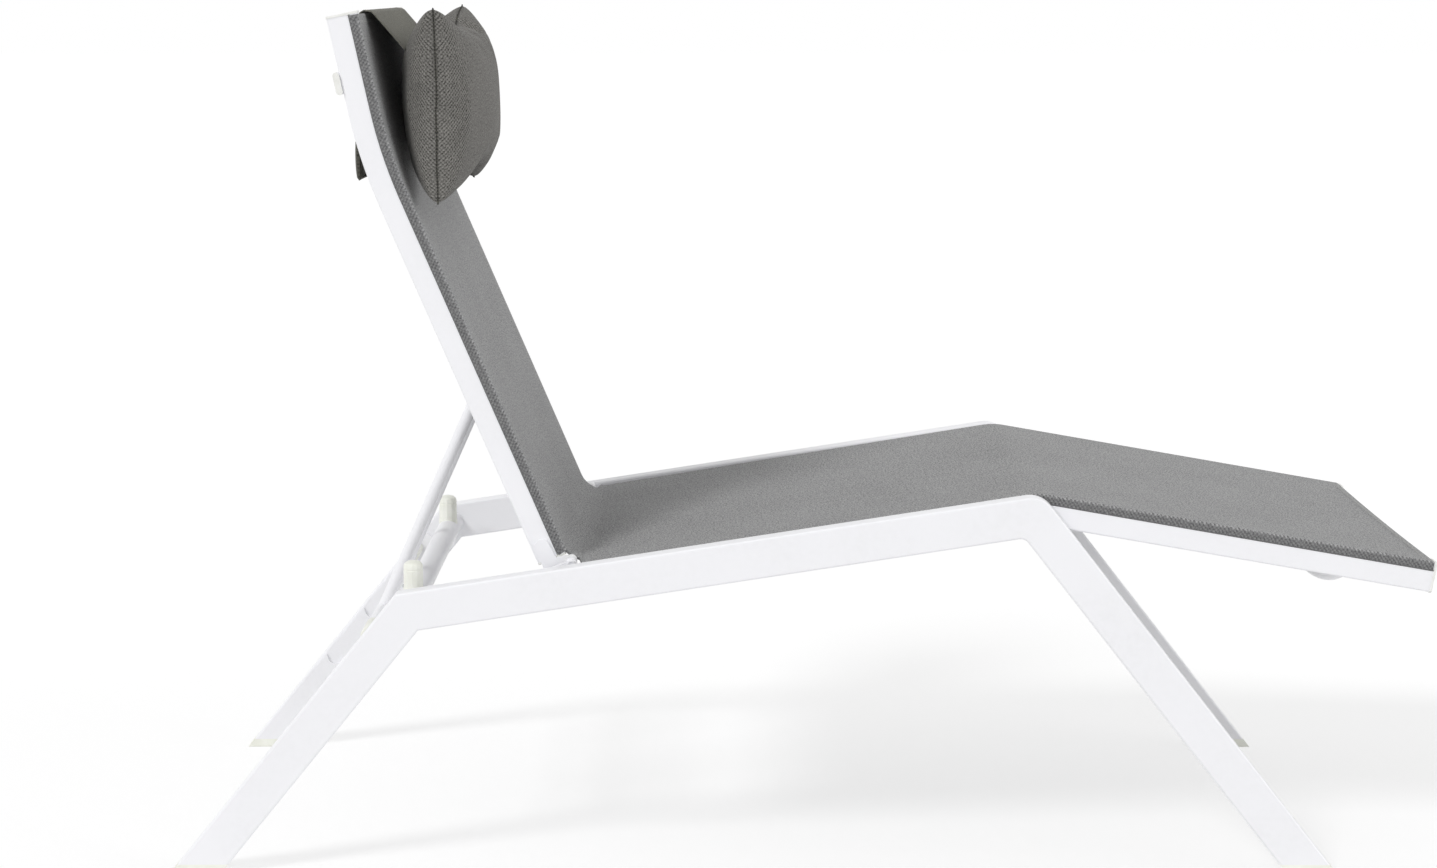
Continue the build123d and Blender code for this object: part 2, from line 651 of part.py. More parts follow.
# Stay: a bail on the backrest's pivot tube, whose foot bar drops into the racks
for side_name, side in SIDES.items():
    ring = span(side, STAY_HALF_SPAN - RING_WIDTH / 2, STAY_HALF_SPAN + RING_WIDTH / 2)
    with BuildPart() as ring_part:
        with BuildSketch(side_plane(ring[1])):
            with Locations(STAY_PIVOT):
                Circle(RING_OUTER)
                Circle(PIVOT_TUBE + 0.08, mode=Mode.SUBTRACT)
        extrude(amount=RING_WIDTH)
    save(ring_part.part, f"stay_ring_{side_name}")
    start = along(STAY_PIVOT, stay_dir, RING_OUTER - 2.0)
    with BuildPart() as leg:
        with BuildSketch(Plane(origin=(start[0], side * STAY_HALF_SPAN, start[1]), x_dir=(0, 1, 0),
                               z_dir=(stay_dir[0], 0, stay_dir[1]))):
            Circle(STAY_TUBE)
            Circle(STAY_TUBE - 1.5, mode=Mode.SUBTRACT)
        extrude(amount=STAY_LENGTH - RING_OUTER + 2.0)
        cut_across(RING_OUTER, [STAY_PIVOT], *ring)
        cut_across(FOOT_BAR, [STAY_FOOT], side * STAY_HALF_SPAN - 15, side * STAY_HALF_SPAN + 15)
    save(leg.part, f"stay_leg_{side_name}")

bar_end = FOOT_BAR_END - NYLON_END_LENGTH
cross_tube(STAY_FOOT, FOOT_BAR, 1.5, FOOT_BAR_END - 3.0, "stay_foot_bar")
for side_name, side in SIDES.items():
    low, high = span(side, bar_end, FOOT_BAR_END)
    hollow = span(side, bar_end, FOOT_BAR_END - 3.0)
    with BuildPart() as nylon:
        with BuildSketch(side_plane(high)):
            with Locations(STAY_FOOT):
                Circle(NYLON_END)
        extrude(amount=high - low)
        cut_across(FOOT_BAR, [STAY_FOOT], *hollow)
    save(nylon.part, f"stay_nylon_end_{side_name}")

with BuildPart() as collars:
    for side in both:
        for inner in (STAY_HALF_SPAN - RING_WIDTH / 2 - 6.3, STAY_HALF_SPAN + RING_WIDTH / 2 + 0.3):
            low, high = span(side, inner, inner + 6.0)
            with BuildSketch(side_plane(high)):
                with Locations(STAY_PIVOT):
                    Circle(RING_OUTER - 0.5)
                    Circle(PIVOT_TUBE, mode=Mode.SUBTRACT)
            extrude(amount=high - low)
save(collars.part, "pivot_collars")

# Racks on the inner faces of the rear legs, with a hook for each position of the stay
for side_name, side in SIDES.items():
    low, high = span(side, FRAME_INNER - RACK_PLATE, FRAME_INNER)
    with BuildPart() as rack:
        solid_across([rack_point(325.0, 4.0), rack_point(325.0, 40.0), rack_point(120.0, 40.0),
                      rack_point(120.0, 4.0)], low, high)
        fillet(rack.edges().filter_by(Axis.Y), radius=5.0)
        for z in RACK_NOTCHES:
            seat_point = rack_point(z, 16.0)
            mouth = along(along(seat_point, rear_in, -30.0), rear_dir, 14.0)
            with BuildSketch(side_plane(high)):
                with Locations(seat_point):
                    Circle(NYLON_END + 0.6)
                with BuildLine():
                    reach = NYLON_END + 0.6
                    Polyline(along(seat_point, rear_dir, reach), along(mouth, rear_dir, reach),
                             along(mouth, rear_dir, -reach), along(seat_point, rear_dir, -reach),
                             close=True)
                make_face()
            extrude(amount=RACK_PLATE, mode=Mode.SUBTRACT)
        cut_across(RACK_BOLT, RACK_BOLTS, low, high)
    save(rack.part, f"stay_rack_{side_name}")
plate_face = FRAME_INNER - RACK_PLATE
repeated([(side, point, RACK_BOLT, plate_face, wall_end) for side in both for point in RACK_BOLTS]
         + [(side, point, RACK_BOLT_HEAD, plate_face - 0.7, plate_face)
            for side in both for point in RACK_BOLTS], "rack_screws")

# Headrest pillow: a knife-edged bag, fullest in the middle, with pointed corners. Each row is the
# distance from the middle, the half height, and how far the front and the back stand out
PILLOW_ROWS = [(243.0, 119.0, 2.8, 2.2), (236.0, 114.0, 22.0, 18.0), (222.0, 110.0, 36.3, 29.7),
               (190.0, 106.0, 50.6, 41.4), (120.0, 103.0, 61.6, 50.4), (0.0, 102.0, 64.9, 53.1)]
pillow_rows = [(-y, *rest) for y, *rest in PILLOW_ROWS] + PILLOW_ROWS[-2::-1]
with BuildPart() as pillow:
    for y, height, front, rear in pillow_rows:
        middle = (PILLOW_CENTRE[0], y, PILLOW_CENTRE[1])
        with BuildSketch(Plane(origin=middle, x_dir=(1, 0, 0), z_dir=(0, -1, 0))):
            with BuildLine():
                ThreePointArc((0, -height), (front, 0), (0, height))
                ThreePointArc((0, height), (-rear, 0), (0, -height))
            make_face()
    loft()
save(pillow.part, "headrest_pillow")

# Strap that carries the headrest over the top edge, and the weighted flap that balances it
top_edge = (on_head(HEAD_LENGTH, RAIL_DEPTH)[0], on_head(HEAD_LENGTH, RAIL_DEPTH)[1])
over = (top_edge[0] + 0.6, top_edge[1] + 2.0)
flap_middle = (FLAP_X[0] + FLAP_X[1]) / 2


def strap(points, label):
    """A band of fabric that follows the points in the side view, across the strap's width."""
    with BuildPart() as band:
        with BuildSketch(side_plane(STRAP_HALF_WIDTH)):
            with BuildLine():
                Polyline(*points)
            trace(line_width=STRAP)
        extrude(amount=2 * STRAP_HALF_WIDTH)
    save(band.part, label)


strap([STRAP_END, (top_edge[0] + 8.5, top_edge[1] - 2.0), over], "headrest_strap_front")
strap([(over[0] - STRAP / 2, over[1]), (over[0] - 6.5, top_edge[1] - 1.0), (flap_middle, FLAP_Z[1] + 1.5)],
      "headrest_strap_back")

with BuildPart() as flap:
    with BuildSketch(side_plane(FLAP_HALF_WIDTH)):
        with Locations((flap_middle, (FLAP_Z[0] + FLAP_Z[1]) / 2)):
            RectangleRounded(FLAP_X[1] - FLAP_X[0], FLAP_Z[1] - FLAP_Z[0], 4.5)
    extrude(amount=2 * FLAP_HALF_WIDTH)
    with BuildSketch(side_plane(WEIGHT_BAR[2] / 2)):
        with Locations((flap_middle, FLAP_Z[0] + 8.0 + WEIGHT_BAR[1] / 2)):
            Rectangle(WEIGHT_BAR[0] + 0.4, WEIGHT_BAR[1] + 0.4)
    extrude(amount=WEIGHT_BAR[2], mode=Mode.SUBTRACT)
save(flap.part, "counterweight_flap")

with BuildPart() as weight:
    with BuildSketch(side_plane(WEIGHT_BAR[2] / 2 - 0.2)):
        with Locations((flap_middle, FLAP_Z[0] + 8.0 + WEIGHT_BAR[1] / 2)):
            Rectangle(WEIGHT_BAR[0], WEIGHT_BAR[1])
    extrude(amount=WEIGHT_BAR[2] - 0.4)
save(weight.part, "counterweight_bar")
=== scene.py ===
"""Looks of a reclining sling sun lounger: coated tube frame, stretched slings and a hanging pillow.

Everything is in metres, X to the foot end, Y to the left of a person lying down, Z up.
The frame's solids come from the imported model; the cloth, the round tubes and the small
moulded pieces are surfaces worked out here and laid on the same lines.
"""

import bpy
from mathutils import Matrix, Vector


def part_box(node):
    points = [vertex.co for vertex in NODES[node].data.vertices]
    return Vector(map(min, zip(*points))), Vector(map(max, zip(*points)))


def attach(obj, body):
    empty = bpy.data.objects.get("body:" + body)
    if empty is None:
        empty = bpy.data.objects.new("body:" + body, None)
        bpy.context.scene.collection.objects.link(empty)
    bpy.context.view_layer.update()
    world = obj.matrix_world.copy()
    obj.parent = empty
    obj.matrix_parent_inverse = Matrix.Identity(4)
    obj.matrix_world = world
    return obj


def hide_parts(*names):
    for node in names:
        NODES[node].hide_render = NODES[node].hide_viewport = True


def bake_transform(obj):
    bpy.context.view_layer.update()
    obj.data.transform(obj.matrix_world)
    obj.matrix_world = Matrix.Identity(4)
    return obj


bl_info = {
    "name": "Reclining sling sun lounger",
    "version": (1, 0, 0),
    "blender": (4, 5, 0),
    "location": "View3D > Sidebar > Lounger",
    "description": "Dresses the frame of a sun lounger with its slings, pillow, fittings and finishes",
    "category": "Object",
}

from math import cos, hypot, pi, radians, sin, tan

import bpy
import numpy as np
from bpy.props import FloatProperty, FloatVectorProperty, PointerProperty
from mathutils import Vector

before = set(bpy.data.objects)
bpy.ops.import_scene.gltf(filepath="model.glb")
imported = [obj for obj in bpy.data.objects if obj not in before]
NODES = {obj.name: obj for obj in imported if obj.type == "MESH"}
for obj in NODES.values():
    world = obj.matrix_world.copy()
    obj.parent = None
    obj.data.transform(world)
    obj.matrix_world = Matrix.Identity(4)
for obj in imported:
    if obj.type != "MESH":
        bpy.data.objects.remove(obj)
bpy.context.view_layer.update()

SIDES = {"right": -1.0, "left": 1.0}


# Lines of the lounger in the side view, as (x, z)

def along(point, direction, distance):
    return (point[0] + direction[0] * distance, point[1] + direction[1] * distance)


def meet(p, u, q, v):
    """Where the line through p along u crosses the line through q along v."""
    cross = u[0] * v[1] - u[1] * v[0]
    return along(p, u, ((q[0] - p[0]) * v[1] - (q[1] - p[1]) * v[0]) / cross)


def heading(degrees_up):
    return (cos(radians(degrees_up)), sin(radians(degrees_up)))


def square_to(direction):
    """The direction turned clockwise by a right angle."""
    return (direction[1], -direction[0])


# Rails: their section, how far out they lie, and the x where they stop on each side of the hinge
RAIL_DEPTH = 0.038
RAIL_WIDTH = 0.025
RAIL_MIDDLE = RAIL_DEPTH / 2
SEAT_RAIL_OUTER = 0.275
BACK_RAIL_OUTER = 0.244
SEAT_RAIL_TAIL = -0.2716
BACK_RAIL_HEEL = -0.2948
BACK_RAIL_END = 0.1773
FRAME_INNER = 0.279

# Sling: its thickness, the band on the rail's outer face, the part tucked into the groove, its half
# width where it hangs free over the hinge, the length of its cross section, and its three bends
SLING = 0.0012
BAND = 0.010
FREE_HALF = 0.243
SLING_WIDTH = 0.5719
HINGE_BEND = 0.036
KNEE_BEND = 0.070
NECK_BEND = 0.600

# Lines: the seat's corner on the sling's outer skin, the hinge pin, and the way each run heads
SEAT_CORNER = (0.2913, 0.4827)
HINGE = (-0.2874, 0.3915)
seat_dir = heading(9.25)
seat_down = square_to(seat_dir)
foot_dir = heading(-9.94)
foot_down = square_to(foot_dir)
back_dir = heading(90 + 23)
back_out = square_to(back_dir)
head_dir = heading(90 + 12)
head_out = square_to(head_dir)
SEAT_KNEE = meet(along(SEAT_CORNER, seat_down, RAIL_MIDDLE + SLING), seat_dir,
                 along(SEAT_CORNER, foot_down, RAIL_MIDDLE + SLING), foot_dir)
SEAT_TIP = meet(SEAT_KNEE, foot_dir, (0.7873, 0.0), (0.0, 1.0))
BACK_FOOT = along(HINGE, back_out, -0.0414)
BACK_KNEE = along(BACK_FOOT, back_dir, 0.5588)


def on_back(s, depth):
    return along(along(BACK_FOOT, back_dir, s), back_out, depth)


def on_head(s, depth):
    return along(along(BACK_KNEE, head_dir, s), head_out, depth)


BACK_HIGH = on_head(BACK_RAIL_END, RAIL_MIDDLE)
TOP_EDGE = on_head(BACK_RAIL_END, RAIL_DEPTH)

# Stay: it turns on the pivot tube, and its foot bar lies across between the racks
STAY_PIVOT = on_back(0.244, RAIL_MIDDLE)
stay_dir = heading(245.8)
STAY_LENGTH = 0.3366
STAY_FOOT = along(STAY_PIVOT, stay_dir, STAY_LENGTH)
STAY_LEG_Y = 0.125
BAR_HALF = 0.2145

# Pillow: the x of its seam's plane, the degrees that plane leans back, the depth of each half, how
# far its far upper ear hangs back, and the power by which each half swells
PILLOW_SEAM = -0.4529
PILLOW_LEAN = 1.8
PILLOW_FRONT = 0.060
PILLOW_BACK = 0.058
PILLOW_TWIST = 0.0045
PILLOW_POWER = 0.78
CLOTH_FRAMES = 30
WELT = 0.0011

# Strap and flap: half the strap's width, its thickness; the sling's hem; edges of turned pieces
STRAP_HALF = 0.175
STRAP_THICK = 0.0016
HEM = 0.020
TURNED_EDGE = 0.0008

# Camera: focal length in mm and degrees below the level
LENS = 68.79
CAMERA_DOWN = 9.33


# Meshes: a part is its points, its faces, and one UV pair, in metres of cloth, per face corner

def grid_part(points, u=None, v=None, ends="fan"):
    """A part from rows of points (rows, columns, 3), each row a closed loop. Quads join neighbours.
    u runs along the columns, with one more value than there are, and v along the rows. ends closes
    the first and last row: fan with one face, strip by pairing the outer half of the loop with its
    inner half, None leaves them open."""
    rows, columns = points.shape[:2]
    across = np.arange(columns)
    after = (across + 1) % columns
    first = np.arange(rows - 1)[:, None] * columns
    quads = np.stack([first + across, first + after, first + columns + after, first + columns + across], -1)
    if u is None:
        u = np.linspace(0.0, 1.0, columns + 1)
    if v is None:
        v = np.linspace(0.0, 1.0, rows)
    shape = (rows - 1, columns)
    corners_u = np.stack([np.broadcast_to(a, shape) for a in (u[:-1], u[1:], u[1:], u[:-1])], -1)
    corners_v = np.stack([np.broadcast_to(a[:, None], shape) for a in (v[:-1], v[:-1], v[1:], v[1:])], -1)
    faces = quads.reshape(-1, 4).tolist()
    uvs = [np.stack([corners_u, corners_v], -1).reshape(-1, 2)]
    for base, turn, edge in ((0, -1, v[0]), ((rows - 1) * columns, 1, v[-1])):
        if ends == "fan":
            faces.append(list(range(base, base + columns))[::turn])
            uvs.append(np.zeros((columns, 2)) + [u[0], edge])
        if ends == "strip":
            for k in range(columns // 2 - 1):
                quad = [base + k, base + k + 1, base + columns - 2 - k, base + columns - 1 - k]
                faces.append(quad[::turn])
                uvs.append(np.array([[u[at], edge] for at in (k, k + 1, k + 1, k)])[::turn])
    return {"points": points.reshape(-1, 3), "faces": faces, "uvs": np.concatenate(uvs)}


def joined(parts):
    """One part from several: the points follow each other and the faces' numbers move up."""
    faces = []
    start = 0
    for part in parts:
        faces += [[start + k for k in face] for face in part["faces"]]
        start += len(part["points"])
    return {"points": np.concatenate([part["points"] for part in parts]), "faces": faces,
            "uvs": np.concatenate([part["uvs"] for part in parts])}


def outward(part):
    """The part with its faces turned outwards: the signed volumes between its faces and its own
    middle add up to more than nothing."""
    middle = part["points"].mean(0)
    points = part["points"] - middle
    total = 0.0
    for face in part["faces"]:
        a, b, c = points[face[0]], points[face[1]], points[face[2]]
        total += float(np.dot(a, np.cross(b, c)))
        if len(face) == 4:
            total += float(np.dot(a, np.cross(c, points[face[3]])))
    if total < 0:
        uvs = []
        start = 0
        for face in part["faces"]:
            uvs.append(part["uvs"][start:start + len(face)][::-1])
            start += len(face)
        part["faces"] = [face[::-1] for face in part["faces"]]
        part["uvs"] = np.concatenate(uvs)
    part["points"] = points + middle
    return part


def placed(name, data):
    made = bpy.data.objects.new(name, data)
    bpy.context.scene.collection.objects.link(made)
    return made


def piece(name, parts, look, body, replaces=(), sharp=50.0):
    """Makes the mesh object of one piece and lets it ride on its body, if it is given one."""
    part = joined([outward(p) for p in parts])
    mesh = bpy.data.meshes.new(name)
    mesh.from_pydata(part["points"].tolist(), [], part["faces"])
    layer = mesh.uv_layers.new(name="cloth")
    layer.data.foreach_set("uv", part["uvs"].astype(np.float32).ravel())
    mesh.materials.append(finish(look))
    mesh.update()
    made = placed(name, mesh)
    mesh.polygons.foreach_set("use_smooth", np.ones(len(mesh.polygons), bool))
    mesh.set_sharp_from_angle(angle=radians(sharp))
    if body:
        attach(made, body)
    if replaces:
        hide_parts(*replaces)
    return made


def stand_in(node, suffix, parts, look, body, sharp=50.0):
    """A piece that is seen instead of one node and bears its name."""
    return piece(f"{node}_{suffix}", parts, look, body, (node,), sharp)


def run_lengths(points):
    """The length of a line of points up to each of them."""
    return np.concatenate([[0.0], np.cumsum(np.linalg.norm(np.diff(points, axis=0), axis=1))])


def at_length(line, length):
    """The point and the heading of a (points, headings, lengths) line at one length along it."""
    points, headings, lengths = line
    return [float(np.interp(length, lengths, row)) for row in (points[:, 0], points[:, 1], headings)]


def points_of(mesh):
    co = np.empty(len(mesh.vertices) * 3)
    mesh.vertices.foreach_get("co", co)
    return co.reshape(-1, 3)


def box_middle(node):
    """The middle of a node's box in the side view."""
    low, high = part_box(node)
    return ((low.x + high.x) / 2, (low.z + high.z) / 2)


def bent_path(corners, bends, step):
    """Straight runs through the corners, each inner corner rounded to its bend radius: the heading is
    constant on a run and turns evenly on an arc. Gives points, headings and lengths."""
    corners = np.asarray(corners, float)
    runs = np.diff(corners, axis=0)
    heads = np.unwrap(np.arctan2(runs[:, 1], runs[:, 0]))
    turns = np.diff(heads)
    cuts = np.concatenate([[0.0], np.asarray(bends) * np.tan(np.abs(turns) / 2), [0.0]])
    at = corners[0]
    points = []
    headings = []
    for k, head in enumerate(heads):
        run = hypot(*runs[k]) - cuts[k] - cuts[k + 1]
        forward = np.array([cos(head), sin(head)])
        spots = np.linspace(0, run, max(2, int(run / step)), endpoint=False)
        points.append(at + spots[:, None] * forward)
        headings.append(np.full(len(spots), head))
        at = at + run * forward
        if k < len(turns):
            radius = bends[k] * np.sign(turns[k])
            now = head + turns[k] * np.linspace(0, 1, max(12, int(bends[k] / step)), endpoint=False)
            points.append(at + radius * np.stack([np.sin(now) - sin(head), cos(head) - np.cos(now)], -1))
            headings.append(now)
            last = heads[k + 1]
            at = at + radius * np.array([sin(last) - sin(head), cos(head) - cos(last)])
    points = np.concatenate(points + [at[None]])
    headings = np.concatenate(headings + [heads[-1:]])
    lengths = np.concatenate([[0.0], np.cumsum(np.hypot(*np.diff(points, axis=0).T))])
    return points, headings, lengths


def carried(points, headings, profile, side):
    """A profile of (y, out) carried along a line in the side view: each point stands out from the
    line, square to its heading, on the side given by +1 (left of the heading) or -1."""
    normal = np.stack([-np.sin(headings), np.cos(headings)], -1) * side
    if profile.ndim == 2:
        profile = np.broadcast_to(profile, (len(points),) + profile.shape)
    x = points[:, None, 0] + normal[:, None, 0] * profile[..., 1]
    z = points[:, None, 1] + normal[:, None, 1] * profile[..., 1]
    return np.stack([x, np.broadcast_to(profile[..., 0], x.shape), z], -1)


def path_tube(path, radii, sides=32, start_direction=None):
    """A round tube whose middle follows path (n, 3) with a radius for each point: each ring lies
    square to the path, turned from the last ring by the least turn."""
    path = np.asarray(path, float)
    radii = np.broadcast_to(np.asarray(radii, float), (len(path),))
    tangents = np.gradient(path, axis=0)
    length = np.linalg.norm(tangents, axis=1, keepdims=True)
    tangents = tangents / np.where(length < 1e-9, 1.0, length)
    if start_direction is not None:
        tangents[:] = start_direction
    side = np.cross(tangents[0], [0.0, 0.0, 1.0])
    if np.linalg.norm(side) < 0.1:
        side = np.cross(tangents[0], [1.0, 0.0, 0.0])
    side = side / np.linalg.norm(side)
    sides_list = []
    for tangent in tangents:
        side = side - tangent * np.dot(side, tangent)
        side = side / np.linalg.norm(side)
        sides_list.append(side)
    across = np.array(sides_list)
    up = np.cross(tangents, across)
    angle = np.linspace(0, 2 * pi, sides, endpoint=False)
    ring = across[:, None] * np.cos(angle)[None, :, None] + up[:, None] * np.sin(angle)[None, :, None]
    points = path[:, None] + ring * radii[:, None, None]
    return grid_part(points, np.linspace(0, 2 * pi * radii.max(), sides + 1), run_lengths(path))


def turned(origin, direction, outline, sides=40):
    """A turned piece: outline rows (along, radius) are rings round the axis from origin."""
    direction = np.asarray(direction, float) / np.linalg.norm(direction)
    path = np.asarray(origin, float) + np.asarray(outline)[:, :1] * direction
    return path_tube(path, np.maximum(np.asarray(outline)[:, 1], 1e-5), sides, direction)


def rounded_edges(low, high, radius):
    """An outline of (along, radius) from low to high with rounded end edges."""
    edge = TURNED_EDGE
    rise = [(0.0, radius - edge), (edge * 0.3, radius - edge * 0.3), (edge, radius)]
    return [(low + a, r) for a, r in rise] + [(high - a, r) for a, r in reversed(rise)]


def stitch_row(points, along_line, outward_line, length, radius):
    """Thread stitches: one small six-sided spindle, thick in the middle and thin at both ends, is
    copied to every point, laid along the line and half sunk in the cloth."""
    points = np.asarray(points, float)
    along_line = np.broadcast_to(np.asarray(along_line, float), points.shape)
    outward_line = np.broadcast_to(np.asarray(outward_line, float), points.shape)
    t = np.array([-0.5, -0.36, 0.0, 0.36, 0.5])
    thick = np.array([0.25, 0.85, 1.0, 0.85, 0.25])
    lift = np.array([-0.9, -0.1, 0.35, -0.1, -0.9])
    angle = np.linspace(0, 2 * pi, 6, endpoint=False)
    across = np.cross(along_line, outward_line)
    rings = (points[:, None, None] + along_line[:, None, None] * (t * length)[None, :, None, None]
             + outward_line[:, None, None] * (lift * radius)[None, :, None, None]
             + across[:, None, None] * (thick[:, None] * np.cos(angle)[None] * radius)[None, ..., None]
             + outward_line[:, None, None] * (thick[:, None] * np.sin(angle)[None] * radius)[None, ..., None])
    return [grid_part(ring) for ring in rings]


# Materials

def picked(code):
    """The three sRGB values of a hex code, from 0 to 1."""
    return tuple(int(code[k:k + 2], 16) / 255 for k in (1, 3, 5))


def linear(colour):
    """The linear colour of an sRGB hex code or triple, with full alpha."""
    values = picked(colour) if isinstance(colour, str) else colour
    return tuple(v / 12.92 if v <= 0.04045 else ((v + 0.055) / 1.055) ** 2.4 for v in values) + (1.0,)


def add(tree, kind, inputs=None, **settings):
    """Adds a node, sets its settings, and sets or links its inputs by name or number."""
    made = tree.nodes.new(kind)
    for name, value in settings.items():
        setattr(made, name, value)
    for key, value in (inputs or {}).items():
        if isinstance(value, bpy.types.NodeSocket):
            tree.links.new(value, made.inputs[key])
        else:
            made.inputs[key].default_value = value
    return made


def new_material(name):
    """An empty material and its node tree."""
    material = bpy.data.materials.new(name)
    material.use_nodes = True
    material.node_tree.nodes.clear()
    return material, material.node_tree


def object_place(tree):
    return add(tree, "ShaderNodeTexCoord").outputs["Object"]


def shaded(tree, inputs):
    """Closes a material with one Principled shader, its inputs set or linked by name."""
    shader = add(tree, "ShaderNodeBsdfPrincipled", inputs)
    add(tree, "ShaderNodeOutputMaterial", {"Surface": shader.outputs["BSDF"]})


def mixed(tree, factor, low, high):
    """The colour between low and high at factor."""
    mix = add(tree, "ShaderNodeMix", {"Factor": factor}, data_type="RGBA")
    for key, value in (("A_Color", low), ("B_Color", high)):
        socket = next(s for s in mix.inputs if s.identifier == key)
        if isinstance(value, bpy.types.NodeSocket):
            tree.links.new(value, socket)
        else:
            socket.default_value = value
    return next(s for s in mix.outputs if s.identifier == "Result_Color")


def ramp(tree, value, low, high, to_low=0.0, to_high=1.0):
    """The value moved from the span low to high to the span to_low to to_high, and held in it."""
    return add(tree, "ShaderNodeMapRange", {"Value": value, "From Min": low, "From Max": high,
                                            "To Min": to_low, "To Max": to_high}).outputs["Result"]


def maths(tree, operation, a, b=0.0):
    return add(tree, "ShaderNodeMath", {0: a, 1: b}, operation=operation).outputs[0]


def noise(tree, vector, scale, detail):
    made = add(tree, "ShaderNodeTexNoise", {"Vector": vector, "Scale": scale, "Detail": detail})
    return made.outputs["Fac"]


def about_zero(tree, value, weight):
    """A noise value shifted to lie about zero, times a weight."""
    return maths(tree, "MULTIPLY", maths(tree, "SUBTRACT", value, 0.5), weight)


def bumped(tree, *layers):
    """The normal after bump layers of (height, strength, distance), each on the normal of the last."""
    normal = {}
    for height, strength, distance in layers:
        bump = add(tree, "ShaderNodeBump", {"Height": height, "Strength": strength, "Distance": distance,
                                            **normal})
        normal = {"Normal": bump.outputs["Normal"]}
    return normal["Normal"]


def powder_coat(colour):
    """Polyester powder coat on aluminium tube: baked on, so satin and slightly pebbled (orange peel
    about 1.5 mm across), a touch duller in patches where hands and weather reach it."""
    material, tree = new_material("white_powder_coat")
    place = object_place(tree)
    patches = noise(tree, place, 9.0, 3.0)
    peel = noise(tree, place, 620.0, 1.0)
    dust = noise(tree, place, 140.0, 4.0)
    base = linear(colour)
    dull = tuple(c * k for c, k in zip(base, (0.962, 0.962, 0.958, 1.0)))
    worn = maths(tree, "MULTIPLY", ramp(tree, patches, 0.35, 0.7), ramp(tree, dust, 0.4, 0.75, 0.3, 1.0))
    shaded(tree, {"IOR": 1.5, "Base Color": mixed(tree, worn, base, dull),
                  "Roughness": ramp(tree, patches, 0.3, 0.7, 0.34, 0.46),
                  "Normal": bumped(tree, (peel, 0.35, 0.00006))})
    return material


def nylon(name, colour, dark):
    """Moulded nylon: matt, a little waxy, with fine flow marks and a faint yellowing in patches."""
    material, tree = new_material(name)
    place = object_place(tree)
    cloud = noise(tree, place, 38.0, 3.0)
    grain = noise(tree, place, 900.0, 2.0)
    shaded(tree, {"IOR": 1.53,
                  "Base Color": mixed(tree, ramp(tree, cloud, 0.35, 0.7), linear(colour), linear(dark)),
                  "Roughness": ramp(tree, grain, 0.3, 0.7, 0.42, 0.56),
                  "Normal": bumped(tree, (grain, 0.3, 0.00005))})
    return material


def turned_steel():
    """Stainless steel, turned or drawn: bright, with fine rings across the turning axis, which is Y."""
    material, tree = new_material("turned_stainless_steel")
    place = object_place(tree)
    stretch = add(tree, "ShaderNodeMapping", {"Vector": place, "Scale": (60.0, 2600.0, 60.0)})
    rings = noise(tree, stretch.outputs[0], 1.0, 2.0)
    shaded(tree, {"Metallic": 1.0, "Base Color": mixed(tree, rings, linear("#B9BCBE"), linear("#D5D7D8")),
                  "Roughness": ramp(tree, rings, 0.3, 0.7, 0.24, 0.4),
                  "Normal": bumped(tree, (rings, 0.2, 0.00004))})
    return material


def coated_mesh(name, light, dark, pitch, contrast, width=0.0):
    """Woven mesh of vinyl-coated polyester yarn: plain weave with small holes between the yarns.
    The yarn bumps are the product of a sine across and a sine along the cloth, pitch apart, pushed
    about by noise. Real yarns are about 0.8 mm apart, too fine for the render, so they are drawn
    coarser. Given the cloth's width, the 11 mm that are pulled down over the rails are darker."""
    material, tree = new_material(name)
    cloth = add(tree, "ShaderNodeUVMap", uv_map="cloth").outputs["UV"]
    axes = add(tree, "ShaderNodeSeparateXYZ", {"Vector": cloth})
    threads = add(tree, "ShaderNodeMapping", {"Vector": cloth, "Scale": (900.0, 14.0, 1.0)}).outputs[0]
    wobble = noise(tree, cloth, 55.0, 2.0)
    speck = noise(tree, cloth, 420.0, 1.0)
    streak = noise(tree, threads, 1.0, 2.0)
    cloud = noise(tree, cloth, 7.0, 4.0)
    shift = maths(tree, "ADD", about_zero(tree, wobble, pitch * 0.9), about_zero(tree, speck, pitch * 1.8))
    waves = []
    for axis in ("X", "Y"):
        moved = maths(tree, "ADD", axes.outputs[axis], shift)
        waves.append(maths(tree, "SINE", maths(tree, "MULTIPLY", moved, pi / pitch)))
    weave = maths(tree, "MULTIPLY", *waves)
    tone = maths(tree, "MULTIPLY", weave, contrast)
    for layer, weight in ((speck, contrast * 3.2), (streak, contrast * 0.8), (cloud, 0.25)):
        tone = maths(tree, "ADD", tone, about_zero(tree, layer, weight))
    share = ramp(tree, tone, -0.8, 0.8)
    if width:
        edge = maths(tree, "MINIMUM", axes.outputs["X"], maths(tree, "SUBTRACT", width, axes.outputs["X"]))
        share = maths(tree, "MULTIPLY", share, ramp(tree, edge, 0.0095, 0.0125, 0.4, 1.0))
    shaded(tree, {"IOR": 1.46, "Specular IOR Level": 0.2, "Sheen Weight": 0.05, "Sheen Roughness": 0.5,
                  "Base Color": mixed(tree, share, linear(dark), linear(light)),
                  "Roughness": ramp(tree, tone, -0.8, 0.8, 0.9, 0.78),
                  "Normal": bumped(tree, (weave, 0.55, 0.00022), (speck, 0.35, 0.00015))})
    return material


def thread(name, colour):
    """Spun polyester sewing thread: dull, twisted fine along its length."""
    material, tree = new_material(name)
    twist = noise(tree, object_place(tree), 1500.0, 1.0)
    base = linear(colour)
    dark = tuple(c * 0.6 for c in base[:3]) + (1.0,)
    shaded(tree, {"IOR": 1.5, "Roughness": 0.8, "Base Color": mixed(tree, twist, dark, base),
                  "Normal": bumped(tree, (twist, 0.4, 0.0001))})
    return material


